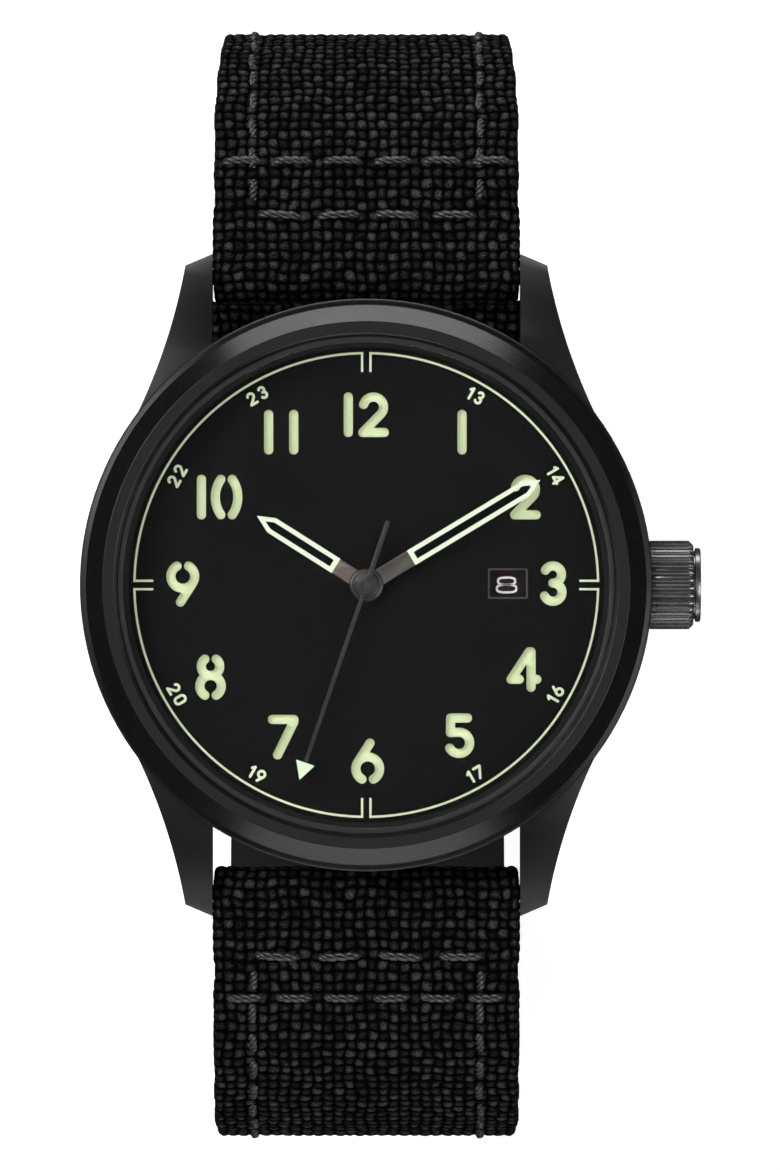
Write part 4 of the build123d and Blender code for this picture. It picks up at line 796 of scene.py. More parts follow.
def welded(node: str) -> bmesh.types.BMesh:
    """A working shape of a CAD node, with its points joined.

    Args:
        node: The CAD node.

    Returns:
        The working shape.
    """
    shape = bmesh.new()
    shape.from_mesh(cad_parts[node].data)
    bmesh.ops.remove_doubles(shape, verts=shape.verts, dist=WELD)
    return shape


def handed_over(shape: bmesh.types.BMesh, name: str) -> bpy.types.Mesh:
    """A new mesh from a working shape, which is put away.

    Args:
        shape: The working shape.
        name: The mesh's name.

    Returns:
        The mesh.
    """
    mesh = bpy.data.meshes.new(name)
    shape.to_mesh(mesh)
    shape.free()
    return mesh


def turn_outwards(mesh: bpy.types.Mesh) -> None:
    """Turns the faces of a closed mesh outwards.

    Args:
        mesh: The mesh.
    """
    shape = bmesh.new()
    shape.from_mesh(mesh)
    bmesh.ops.recalc_face_normals(shape, faces=shape.faces)
    shape.to_mesh(mesh)
    shape.free()


def add_cylinder(shape: bmesh.types.BMesh, radius: float, depth: float, segments: int, place: Matrix) -> None:
    """Adds a closed cylinder to a working shape.

    Args:
        shape: The working shape.
        radius: Its radius in millimetres.
        depth: Its length in millimetres.
        segments: Steps round it.
        place: Where its middle stands, with the axis along Z.
    """
    bmesh.ops.create_cone(shape, cap_ends=True, segments=segments, radius1=radius * MM, radius2=radius * MM,
                          depth=depth * MM, matrix=place)


def smooth_by_angle(mesh: bpy.types.Mesh, angle: float) -> None:
    """Shades a mesh smooth, apart from edges sharper than an angle.

    Args:
        mesh: The mesh.
        angle: The limit, in degrees.
    """
    shape = bmesh.new()
    shape.from_mesh(mesh)
    for face in shape.faces:
        face.smooth = True
    for edge in shape.edges:
        edge.smooth = len(edge.link_faces) == 2 and edge.calc_face_angle(0.0) < math.radians(angle)
    shape.to_mesh(mesh)
    shape.free()


def mesh_of(name: str, points: np.ndarray | list, faces: list, smooth: bool = True) -> bpy.types.Mesh:
    """A mesh from points in millimetres.

    Args:
        name: The mesh's name.
        points: Rows of x, y and z in millimetres.
        faces: Tuples of point numbers.
        smooth: Whether the faces are shaded smooth.

    Returns:
        The mesh, in metres.
    """
    mesh = bpy.data.meshes.new(name)
    mesh.from_pydata((np.asarray(points, dtype=float) * MM).tolist(), [], faces)
    mesh.polygons.foreach_set("use_smooth", [smooth] * len(mesh.polygons))
    mesh.update()
    return mesh


def eased_outline(outline: Outline, ease: float, steps: int = 4, guard: float = 0.03) -> Outline:
    """A closed outline with rounded corners and a guard point on each side of every corner.

    Args:
        outline: The corners, as (radius, height).
        ease: Corner radius in millimetres.
        steps: Arc segments at a corner.
        guard: How far a guard point stands from its arc, in millimetres.

    Returns:
        The eased outline.
    """
    eased: Outline = []
    count = len(outline)
    for index in range(count):
        before, corner, after = (Vector(outline[(index + step) % count]) for step in (-1, 0, 1))
        back, ahead = before - corner, after - corner
        if min(corner.x, back.length, ahead.length) < TINY:
            eased.append(tuple(corner))
            continue
        half = back.angle(ahead) / 2
        reach = min(ease / math.tan(half), 0.4 * back.length, 0.4 * ahead.length)
        start, end = corner + back.normalized() * reach, corner + ahead.normalized() * reach
        spare = min(guard, 0.05 * min(back.length, ahead.length))
        eased.append(tuple(start + back.normalized() * spare))
        for step in range(steps + 1):
            share = step / steps
            eased.append(tuple((1 - share) ** 2 * start + 2 * share * (1 - share) * corner + share ** 2 * end))
        eased.append(tuple(end + ahead.normalized() * spare))
    return eased


def lathe(name: str, outline: Outline, ease: float = 0.05, segments: int = 256) -> bpy.types.Mesh:
    """A turned mesh about Z from a closed outline.

    Args:
        name: The mesh's name.
        outline: The corners, as (radius, height) in millimetres.
        ease: Corner radius in millimetres.
        segments: Steps round the axis.

    Returns:
        The mesh.
    """
    shape = bmesh.new()
    rings: list[list[bmesh.types.BMVert]] = []
    for radius, height in eased_outline(outline, ease):
        if radius < TINY:
            rings.append([shape.verts.new((0, 0, height * MM))] * segments)
            continue
        rings.append([
            shape.verts.new((radius * MM * math.cos(turn), radius * MM * math.sin(turn), height * MM))
            for turn in (2 * math.pi * step / segments for step in range(segments))
        ])
    for index, ring in enumerate(rings):
        following = rings[(index + 1) % len(rings)]
        for step in range(segments):
            onward = (step + 1) % segments
            corners = list(dict.fromkeys((ring[step], ring[onward], following[onward], following[step])))
            if len(corners) > 2:
                shape.faces.new(corners)
    for face in shape.faces:
        face.smooth = True
    bmesh.ops.recalc_face_normals(shape, faces=shape.faces)
    return handed_over(shape, name)


# ---------------------------------------------------------------------------------------------
# Geometry Nodes
# ---------------------------------------------------------------------------------------------


class NodeBench(Bench):
    """Lays out a Geometry Nodes tree with named inputs."""

    def __init__(self, name: str, inputs: dict[str, str]) -> None:
        """Starts a tree that takes a geometry and named inputs.

        Args:
            name: The tree's name.
            inputs: Names of the inputs with their socket types.
        """
        super().__init__(bpy.data.node_groups.new(name, "GeometryNodeTree"))
        face = self.tree.interface
        face.new_socket("Geometry", in_out="INPUT", socket_type="NodeSocketGeometry")
        for key, kind in inputs.items():
            face.new_socket(key, in_out="INPUT", socket_type=kind)
        face.new_socket("Geometry", in_out="OUTPUT", socket_type="NodeSocketGeometry")
        self.given = self.tree.nodes.new("NodeGroupInput").outputs
        self.result = self.tree.nodes.new("NodeGroupOutput").inputs["Geometry"]

    def node(self, kind: str, **links: object) -> bpy.types.Node:
        """Adds a node and feeds its inputs.

        Args:
            kind: The node's full type.
            **links: Input names, with _ for a space, and a socket or a value for each.

        Returns:
            The node.
        """
        made = self.tree.nodes.new(kind)
        for key, value in links.items():
            self.link(value, made.inputs[key.replace("_", " ")])
        return made

    def finish(self, geometry: bpy.types.NodeSocket, finish: bpy.types.NodeSocket) -> bpy.types.NodeTree:
        """Ends the tree in Realize Instances and Set Material.

        Args:
            geometry: What the tree made.
            finish: The material input.

        Returns:
            The tree.
        """
        real = self.node("GeometryNodeRealizeInstances", Geometry=geometry)
        dressed = self.node("GeometryNodeSetMaterial", Geometry=real.outputs[0], Material=finish)
        self.link(dressed.outputs[0], self.result)
        return self.tree


def run_tree(shop: Workshop, carrier: bpy.types.Mesh, tree: bpy.types.NodeTree,
             inputs: dict[str, object]) -> bpy.types.Mesh:
    """Runs a tree on a carrier mesh.

    Args:
        shop: The workshop.
        carrier: The mesh that goes in.
        tree: The Geometry Nodes tree.
        inputs: Values by input name.

    Returns:
        The plain mesh that comes out.
    """
    work = placed(tree.name + "_work", carrier)
    modifier = work.modifiers.new(tree.name, "NODES")
    modifier.node_group = tree
    for item in tree.interface.items_tree:
        if item.item_type == "SOCKET" and item.in_out == "INPUT" and item.name in inputs:
            modifier[item.identifier] = inputs[item.name]
    return shop.evaluated(work)


def ring_tree() -> bpy.types.NodeTree:
    """A tree that repeats one sector round Z, welds it and carries it onto an axis along X.

    Returns:
        The tree.
    """
    bench = NodeBench("repeat_round_axis", {
        "Count": "NodeSocketInt", "Place": "NodeSocketVector", "Finish": "NodeSocketMaterial"})
    points = bench.node("GeometryNodePoints", Count=bench.given["Count"])
    index = bench.node("GeometryNodeInputIndex").outputs[0]
    turn = bench.math("MULTIPLY", index, bench.math("DIVIDE", 2 * math.pi, bench.given["Count"]))
    spin = bench.node("ShaderNodeCombineXYZ", Z=turn)
    spread = bench.node("GeometryNodeInstanceOnPoints", Points=points.outputs[0],
                        Instance=bench.given["Geometry"], Rotation=spin.outputs[0])
    real = bench.node("GeometryNodeRealizeInstances", Geometry=spread.outputs[0])
    joined = bench.node("GeometryNodeMergeByDistance", Geometry=real.outputs[0], Distance=WELD)
    laid = bench.node("GeometryNodeTransform", Geometry=joined.outputs[0], Translation=bench.given["Place"],
                      Rotation=(0, math.pi / 2, 0))
    return bench.finish(laid.outputs[0], bench.given["Finish"])


def stitch_tree() -> bpy.types.NodeTree:
    """A tree that puts one thread stitch on each carrier point, turned and stretched by its attributes.

    Returns:
        The tree.
    """
    bench = NodeBench("sewn_stitches", {"Stitch": "NodeSocketObject", "Finish": "NodeSocketMaterial"})
    thread = bench.node("GeometryNodeObjectInfo", Object=bench.given["Stitch"])
    stored = {}
    for name in STITCH_ATTRIBUTES:
        reader = bench.node("GeometryNodeInputNamedAttribute", Name=name)
        reader.data_type = "FLOAT_VECTOR"
        stored[name] = reader.outputs["Attribute"]
    spread = bench.node("GeometryNodeInstanceOnPoints", Points=bench.given["Geometry"],
                        Instance=thread.outputs["Geometry"], Rotation=stored["facing"], Scale=stored["stretch"])
    return bench.finish(spread.outputs[0], bench.given["Finish"])


# ---------------------------------------------------------------------------------------------
# Studio
# ---------------------------------------------------------------------------------------------


@dataclass(frozen=True)
class Lamp:
    """A soft panel that faces the watch. Metres and watts."""

    name: str
    place: tuple[float, float, float]
    width: float
    height: float
    power: float

    def light(self) -> None:
        """Puts the lamp up."""
        data = bpy.data.lights.new(self.name, "AREA")
        data.shape = "RECTANGLE"
        data.size, data.size_y, data.energy = self.width, self.height, self.power
        made = placed(self.name, data)
        made.location = self.place
        made.rotation_euler = (-Vector(self.place)).to_track_quat("-Z", "Y").to_euler()
        made.visible_camera = False


@dataclass
class Studio:
    """Pale floor, soft white light and the camera of the photograph. Distances in millimetres."""

    centre_x: float = 1.7
    bezel_height: float = 9.0
    camera_distance: float = 1000.0
    frame_height: float = 83.57
    sensor: float = 36.0
    floor_height: float = -56.1
    floor_glow: float = 0.62
    floor_greys: tuple[float, float] = (0.84, 0.88)
    backdrop_radius: float = 4500.0
    backdrop_ease: float = 200.0
    surround: float = 0.035
    lamps: tuple[Lamp, ...] = (
        Lamp("panel_12", (0.0, 0.75, -0.03), 0.85, 0.25, 3.8),
        Lamp("panel_6", (0.0, -0.75, -0.03), 0.75, 0.22, 1.5),
        Lamp("overhead", (0.0, 0.0, 1.7), 1.1, 1.1, 1.9),
        Lamp("lip_light", (0.0, -0.75, 0.3), 0.7, 0.08, 0.6),
        Lamp("high_left", (-0.75, 0.42, 1.0), 0.6, 0.6, 11.5),
        Lamp("high_right", (0.75, -0.3, 1.0), 0.6, 0.6, 6.5),
        Lamp("rim_left", (-0.7, 0.0, 0.4), 0.45, 0.06, 0.3),
        Lamp("rim_right", (0.7, 0.0, 0.4), 0.45, 0.06, 0.3),
    )

    def build(self) -> None:
        """Makes the camera, the lights, the floor and the backdrop."""
        self.camera()
        self.floor()
        self.backdrop()
        self.lights()
        self.world()

    def camera(self) -> None:
        """Straight down onto the dial, as far away as the photograph's lens."""
        data = bpy.data.cameras.new("camera")
        data.sensor_width = self.sensor
        data.lens = self.sensor * self.camera_distance / self.frame_height
        data.clip_start, data.clip_end = 0.05, 20.0
        made = placed("camera", data)
        made.location = (self.centre_x * MM, 0, (self.bezel_height + self.camera_distance) * MM)
        bpy.context.scene.camera = made

    def lights(self) -> None:
        """Low panels for the bezel's slopes, its lip and its rims, and high ones for the flats and the canvas."""
        for lamp in self.lamps:
            lamp.light()

    def world(self) -> None:
        """A dim even surround, which is what the black steel mirrors."""
        made = bpy.data.worlds.new("surround")
        made.use_nodes = True
        ground = made.node_tree.nodes["Background"].inputs
        ground["Color"].default_value = (0.9, 0.93, 1.0, 1)
        ground["Strength"].default_value = self.surround
        bpy.context.scene.world = made
        bpy.context.scene.view_settings.view_transform = "Standard"

    def floor(self) -> None:
        """A pale table under the strap, clear when it is looked at from below."""
        reach = self.backdrop_radius
        mesh = mesh_of("floor", [(x * reach, y * reach, self.floor_height) for x, y in
                                 ((-1, -1), (1, -1), (1, 1), (-1, 1))], [(0, 1, 2, 3)], False)
        bench = ShaderBench("pale_table")
        shader = bench.principled(Roughness=0.9, Specular_IOR_Level=0.1, Emission_Strength=self.floor_glow,
                                  Emission_Color=WHITE)
        dark, light = ((grey, grey, grey) for grey in self.floor_greys)
        bench.link(bench.tint(bench.grain(0.02, 2.0), dark, light), shader.inputs["Base Color"])
        bench.clear_where(bench.node("NewGeometry").outputs["Backfacing"], shader)
        self.put_up(mesh, bench, ("glossy",))

    def backdrop(self) -> None:
        """A pale dome that only the camera sees, so that every side view has a plain ground."""
        reach, foot = self.backdrop_radius, self.floor_height
        outer = [(0, reach), (reach * 0.7, reach * 0.7), (reach, 0), (reach, foot)]
        inner = [(reach * 0.99, foot), (reach * 0.99, 0), (reach * 0.69, reach * 0.69), (0, reach * 0.98)]
        bench = ShaderBench("pale_backdrop")
        bench.principled(Roughness=1.0, Emission_Strength=1.0, Emission_Color=WHITE, Base_Color=BLACK)
        self.put_up(lathe("backdrop", outer + inner, self.backdrop_ease, 48), bench,
                    ("glossy", "diffuse", "shadow", "transmission"))

    def put_up(self, mesh: bpy.types.Mesh, bench: ShaderBench, unseen_by: tuple[str, ...]) -> None:
        """Puts up a stage piece, named as its mesh.

        Args:
            mesh: Its mesh.
            bench: The bench of its material.
            unseen_by: Kinds of rays that pass through it.
        """
        mesh.materials.append(bench.material)
        made = placed(mesh.name, mesh)
        for ray in unseen_by:
            setattr(made, "visible_" + ray, False)
        made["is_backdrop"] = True


# ---------------------------------------------------------------------------------------------
# Case, crystal and back
# ---------------------------------------------------------------------------------------------


@dataclass
class WatchCase:
    """Case middle with lugs, bezel, crystal, flange, back, crown tube and spring bars."""

    shop: Workshop
    case_top: float = 7.2
    bezel_seat: float = 6.4
    bezel_radius: float = 20.03
    bezel_rim: float = 0.39
    skirt_radius: float = 20.36
    skirt_edge: float = 0.03
    skirt_rise: float = 0.2
    slope_top_radius: float = 18.84
    bezel_top: float = 9.0
    flat_inner_radius: float = 18.07
    lip_radius: float = 17.75
    lip_drop: float = 0.22
    seat_radius: float = 18.5
    crystal_radius: float = 17.4
    crystal_bottom: float = 7.35
    crystal_top: float = 9.15
    crystal_chamfer: float = 0.1
    dial_top: float = 6.0
    flange_foot: float = 17.0
    flange_head: float = 17.3
    flange_outer: float = 17.7
    crown_axis: float = 3.4
    crown_seat_radius: float = 3.3
    crown_seat_floor: float = 20.08
    crown_seat_depth: float = 2.0
    middle_ease: float = 0.14
    back_ease: float = 0.05

    def build(self) -> None:
        """Makes the turned pieces and dresses the rest."""
        for name, mesh, finish, slot, node in (
            ("bezel_turned", self.bezel(), "bezel_black", "case_black", "bezel"),
            ("crystal_polished", self.crystal(), "crystal_glass", "crystal_glass", "crystal"),
            ("flange_turned", self.flange(), "flange_black", "case_black", "inner_flange"),
            ("case_middle_eased", self.middle(), "case_black", "case_black", "mid_case"),
            ("case_back_eased", self.shop.eased_copy("case_back", self.back_ease), "back_steel", "steel", "case_back"),
        ):
            self.shop.piece(name, mesh, finish, "watch_case", slot, (node,))
        self.shop.dress(crystal_gasket="gasket", case_back_gasket="gasket", crown_tube="steel")
        for bar in ("spring_bar_12", "spring_bar_6"):
            self.shop.dress(**{bar + end: "steel" for end in ("", "_right_tip", "_left_tip")})

    def middle(self) -> bpy.types.Mesh:
        """The eased case middle with a shallow round seat for the crown in its flank.

        Returns:
            The mesh.
        """
        shape = bmesh.new()
        along = self.crown_seat_floor + self.crown_seat_depth / 2
        seat = Matrix.Translation((along * MM, 0, self.crown_axis * MM)) @ Matrix.Rotation(math.pi / 2, 4, "Y")
        add_cylinder(shape, self.crown_seat_radius, self.crown_seat_depth, 128, seat)
        made = self.shop.carved(self.shop.eased_copy("mid_case", self.middle_ease, 3),
                                handed_over(shape, "crown_seat"))
        smooth_by_angle(made, SMOOTH_ANGLE)
        return made

    def bezel(self) -> bpy.types.Mesh:
        """The bezel with its rim, slope, flat top and inner lip.

        Returns:
            The mesh.
        """
        return lathe("bezel", [
            (self.lip_radius, self.bezel_seat), (self.seat_radius, self.bezel_seat),
            (self.seat_radius, self.case_top), (self.skirt_radius, self.case_top),
            (self.skirt_radius, self.case_top + self.skirt_edge), (self.bezel_radius, self.case_top + self.skirt_rise),
            (self.bezel_radius, self.case_top + self.bezel_rim), (self.slope_top_radius, self.bezel_top),
            (self.flat_inner_radius, self.bezel_top), (self.lip_radius, self.bezel_top - self.lip_drop),
        ], 0.06, 360)

    def crystal(self) -> bpy.types.Mesh:
        """The flat crystal with a polished chamfer.

        Returns:
            The mesh.
        """
        return lathe("crystal", [
            (0, self.crystal_bottom), (self.crystal_radius, self.crystal_bottom),
            (self.crystal_radius, self.crystal_top - self.crystal_chamfer),
            (self.crystal_radius - self.crystal_chamfer, self.crystal_top),
            (0, self.crystal_top),
        ], 0.03)

    def flange(self) -> bpy.types.Mesh:
        """The sloping ring between dial and crystal.

        Returns:
            The mesh.
        """
        return lathe("flange", [
            (self.flange_foot, self.dial_top), (self.flange_outer, self.dial_top),
            (self.flange_outer, self.crystal_bottom), (self.flange_head, self.crystal_bottom),
        ], 0.04)


@dataclass
class Crown:
    """Fluted crown with a neck groove and a low end cap, on an axis along X."""

    shop: Workshop
    flutes: int = 36
    radius: float = 3.18
    flute_radius: float = 0.2
    start: float = 20.62
    axis_height: float = 3.4
    samples: int = 10
    smooth_angle: float = 32
    plain_radius: float = 2.8
    stations: tuple[tuple[float, float], ...] = (
        (2.3, 0.0), (2.3, 1.86), (2.26, 1.9), (-0.38, 1.9), (-0.42, 1.94), (-0.42, 2.85), (-0.39, 3.02),
        (-0.32, 3.12), (-0.22, 3.18), (1.3, 3.18), (2.5, 3.18), (2.58, 3.13), (2.83, 2.88), (2.85, 2.8),
        (2.85, 2.5), (2.88, 2.45), (2.95, 2.45), (2.97, 2.49), (2.97, 2.58), (3.0, 2.65), (3.24, 2.65),
        (3.33, 2.61), (3.37, 2.5), (3.37, 2.3), (3.365, 1.2), (3.36, 0.0),
    )

    def build(self) -> None:
        """Makes the crown from one sector, repeated round its axis, and dresses the stem."""
        mesh = run_tree(self.shop, self.sector(), ring_tree(), {
            "Count": self.flutes, "Place": (self.start * MM, 0.0, self.axis_height * MM),
            "Finish": self.shop.finishes["crown_gunmetal"]})
        turn_outwards(mesh)
        smooth_by_angle(mesh, self.smooth_angle)
        self.shop.piece("crown_fluted", mesh, "crown_gunmetal", "crown", "crown_gunmetal", ("crown",))
        self.shop.dress(stem="steel", crown_gasket="gasket", clutch_pinion="steel")

    def fluted(self, angle: float) -> float:
        """The barrel's radius at an angle from the middle of a rib.

        Args:
            angle: Radians from the rib's middle.

        Returns:
            The radius in millimetres.
        """
        away = (math.pi / self.flutes - abs(angle)) * self.radius
        depth = math.sqrt(max(0.0, self.flute_radius ** 2 - away ** 2))
        return self.radius - depth

    def sector(self) -> bpy.types.Mesh:
        """One rib with half a flute on each side, as a grid from bore to cap.

        Returns:
            The mesh, round Z.
        """
        half = math.pi / self.flutes
        angles = [half * (2 * step / self.samples - 1) for step in range(self.samples + 1)]
        points, faces = [], []
        for x, radius in self.stations:
            for angle in angles:
                reach = min(radius, self.fluted(angle)) if radius > self.plain_radius else radius
                points.append((reach * math.cos(angle), reach * math.sin(angle), x))
        wide = len(angles)
        for row in range(len(self.stations) - 1):
            for column in range(self.samples):
                first = row * wide + column
                faces.append((first, first + 1, first + wide + 1, first + wide))
        return mesh_of("crown_sector", points, faces)


# ---------------------------------------------------------------------------------------------
# Dial, date and hands
# ---------------------------------------------------------------------------------------------


@dataclass
class Dial:
    """Sandwich dial with its print, the date window and the printed date ring."""

    shop: Workshop
    shown_date: int = 8
    date_count: int = 31
    date_radius: float = 10.06
    ring_top: float = 5.2
    figure_height: float = 1.22
    figure_width: float = 1.57
    pair_width: float = 1.02
    pair_gap: float = 0.2
    pen: float = 0.15
    print_height: float = 0.03
    bow_steps: int = 14
    bow_softness: float = 0.72
    miter_limit: float = 1.6

    def build(self) -> None:
        """Dresses the dials and prints the dates."""
        self.shop.dress(dial_plate="dial_black", lume_disc="luminous", dial_print="dial_print",
                        date_window_frame="window_black", date_ring="date_black", calendar_plate="brass_plate")
        self.shop.piece("date_figures", self.figures(), "date_print", "date_ring", "date_print")

    def strokes(self, figure: str) -> list[Outline]:
        """The pen paths of one figure, as shares of its width and height about its middle.

        Args:
            figure: A digit.

        Returns:
            Paths of (x, y) shares.
        """
        def bow(cx: float, cy: float, rx: float, ry: float, start: float, end: float) -> Outline:
            """Part of a rounded loop.

            Args:
                cx: Middle across.
                cy: Middle upwards.
                rx: Half its width.
                ry: Half its height.
                start: First angle in degrees.
                end: Last angle in degrees.

            Returns:
                Its points.
            """
            turns = (math.radians(start + (end - start) * step / self.bow_steps) for step in range(self.bow_steps + 1))
            return [(cx + rx * math.copysign(abs(math.cos(t)) ** self.bow_softness, math.cos(t)),
                     cy + ry * math.copysign(abs(math.sin(t)) ** self.bow_softness, math.sin(t))) for t in turns]

        return {
            "0": [bow(0, 0, 0.5, 0.5, 0, 360)],
            "1": [[(-0.25, 0.3), (0.1, 0.5), (0.1, -0.5)]],
            "2": [bow(0, 0.22, 0.48, 0.28, 170, -20) + [(-0.5, -0.5), (0.5, -0.5)]],
            "3": [bow(0, 0.25, 0.45, 0.25, 160, -90), bow(0, -0.25, 0.5, 0.25, 90, -160)],
            "4": [[(0.25, -0.5), (0.25, 0.5), (-0.5, -0.2), (0.5, -0.2)]],
            "5": [[(0.45, 0.5), (-0.42, 0.5), (-0.45, 0.06)] + bow(0, -0.2, 0.5, 0.3, 130, -160)],
            "6": [bow(0, -0.22, 0.5, 0.28, 0, 360), [(-0.5, -0.2), (-0.42, 0.25), (0.0, 0.5), (0.35, 0.5)]],
            "7": [[(-0.5, 0.5), (0.5, 0.5), (-0.1, -0.5)]],
            "8": [bow(0, 0.26, 0.44, 0.24, 0, 360), bow(0, -0.24, 0.5, 0.26, 0, 360)],
            "9": [bow(0, 0.22, 0.5, 0.28, 0, 360), [(0.5, 0.2), (0.42, -0.25), (0.0, -0.5), (-0.35, -0.5)]],
        }[figure]

    def figures(self) -> bpy.types.Mesh:
        """All the dates as thin raised strokes, each upright when it stands in the window.

        Returns:
            The mesh.
        """
        points: list[tuple[float, float, float]] = []
        faces: list[tuple[int, ...]] = []
        for date in range(1, self.date_count + 1):
            text = str(date)
            wide = self.figure_width if len(text) == 1 else self.pair_width
            whole = wide * len(text) + self.pair_gap * (len(text) - 1)
            turn = (date - self.shown_date) * 2 * math.pi / self.date_count
            for index, figure in enumerate(text):
                middle = -whole / 2 + wide / 2 + index * (wide + self.pair_gap)
                for path in self.strokes(figure):
                    flat = [(self.date_radius + middle + x * (wide - self.pen),
                             y * (self.figure_height - self.pen)) for x, y in path]
                    self.pen_line(flat, turn, points, faces)
        return mesh_of("date_figures", points, faces, False)

    def pen_line(self, path: Outline, turn: float, points: list, faces: list) -> None:
        """Adds one raised stroke to a mesh under work.

        Args:
            path: Points in millimetres, before the turn.
            turn: Turn about the watch's axis, in radians.
            points: The mesh's points so far.
            faces: The mesh's faces so far.
        """
        spots = [Vector(spot) for spot in path]
        first = len(points)
        cosine, sine = math.cos(turn), math.sin(turn)
        for index, spot in enumerate(spots):
            before = spots[max(0, index - 1)]
            after = spots[min(len(spots) - 1, index + 1)]
            into, out = (spot - before), (after - spot)
            into = (into if into.length > TINY else out).normalized()
            out = (out if out.length > TINY else into).normalized()
            across = Vector((-(into.y + out.y), into.x + out.x)).normalized()
            stretch = min(self.miter_limit, 1 / max(0.4, math.sqrt(max(0.0, (1 + into.dot(out)) / 2))))
            side = across * self.pen / 2 * stretch
            for place, height in ((spot + side, self.print_height), (spot - side, self.print_height),
                                  (spot - side, 0.0), (spot + side, 0.0)):
                points.append((place.x * cosine - place.y * sine, place.x * sine + place.y * cosine,
                               self.ring_top + height))
        for index in range(len(spots) - 1):
            base = first + 4 * index
            for side in range(4):
                onward = (side + 1) % 4
                faces.append((base + side, base + onward, base + 4 + onward, base + 4 + side))
        last = first + 4 * (len(spots) - 1)
        faces.append((first + 3, first + 2, first + 1, first))
        faces.append((last, last + 1, last + 2, last + 3))


@dataclass
class Hands:
    """Hour, minute and seconds hands with their luminous fields."""

    shop: Workshop
    ease: float = 0.035
    swell: float = 0.045

    def build(self) -> None:
        """Makes the eased hands and dresses the luminous pieces."""
        for node, finish, slot in (
            ("hour_hand", "hour_metal", "hand_metal"), ("minute_hand", "minute_metal", "hand_metal"),
            ("seconds_hand", "seconds_grey", "seconds_grey"),
        ):
            self.shop.piece(node + "_eased", self.shop.eased_copy(node, self.ease), finish, node, slot, (node,))
        for node, body in (("hour_hand_lume", "hour_hand"), ("minute_hand_lume", "minute_hand")):
            self.shop.piece(node + "_full", self.shop.swollen_copy(node, self.swell), "hand_luminous", body,
                            "luminous", (node,))
        self.shop.dress(seconds_hand_lume="pale_lume")


@dataclass
class Movement:
    """Everything between the dial and the back, which keeps its CAD shape."""

    shop: Workshop
    finishes: dict[str, str] = field(default_factory=lambda: {
        "movement_ring": "white_plastic", "main_plate": "brass_plate", "train_bridge": "brass_plate",
        "bridge_screws": "steel", "battery": "steel", "battery_clamp": "steel", "coil": "copper_coil",
        "stator": "steel", "rotor": "steel", "circuit_board": "circuit", "quartz_can": "steel",
        "fifth_wheel": "wheel_brass", "fourth_wheel": "dark_steel", "third_wheel": "wheel_brass",
        "centre_wheel": "wheel_brass", "cannon_pinion": "steel", "minute_wheel": "wheel_brass",
        "hour_wheel": "wheel_brass",
    })

    def build(self) -> None:
        """Dresses each movement node."""
        self.shop.dress(**self.finishes)


# ---------------------------------------------------------------------------------------------
# Canvas strap
# ---------------------------------------------------------------------------------------------


@dataclass
class StrapLine:
    """Middle line of a strap half in the (y, z) plane, drawn for the 12 o'clock side."""

    lead: float
    shoulder: float
    drop: float
    bend: float
    flat: float
    droop: float = 12.0
    lean: float = 12.0
    bar: tuple[float, float] = (22.0, 1.75)

    def runs(self) -> list[tuple[float, float]]:
        """The straight and round runs of the line.

        Returns:
            Each run's length and its turn per millimetre, in radians.
        """
        shoulder = math.radians(90 - self.droop + self.lean)
        under = math.radians(90 - self.lean)
        return [(self.lead, 0.0), (self.shoulder * shoulder, 1 / self.shoulder), (self.drop, 0.0),
                (self.bend * under, 1 / self.bend), (self.flat, 0.0)]

    def length(self) -> float:
        """The whole length in millimetres."""
        return sum(size for size, _ in self.runs())

    def at(self, distance: float) -> tuple[float, float, float]:
        """The place and heading at a distance, also past either end.

        Args:
            distance: Millimetres from the bar.

        Returns:
            y, z and the heading in radians.
        """
        y, z = self.bar
        heading = -math.radians(self.droop)
        left = distance
        runs = self.runs()
        for index, (size, turn) in enumerate(runs):
            step = left if index == len(runs) - 1 or left < 0 else min(left, size)
            if turn:
                after = heading - turn * step
                y += (math.sin(heading) - math.sin(after)) / turn
                z += (math.cos(after) - math.cos(heading)) / turn
                heading = after
            else:
                y += step * math.cos(heading)
                z += step * math.sin(heading)
            left -= step
            if left <= 0:
                break
        return y, z, heading

    def spot(self, distance: float, lift: float) -> tuple[float, float]:
        """The (y, z) place at a distance and a height over the middle line."""
        y, z, heading = self.at(distance)
        return y - lift * math.sin(heading), z + lift * math.cos(heading)


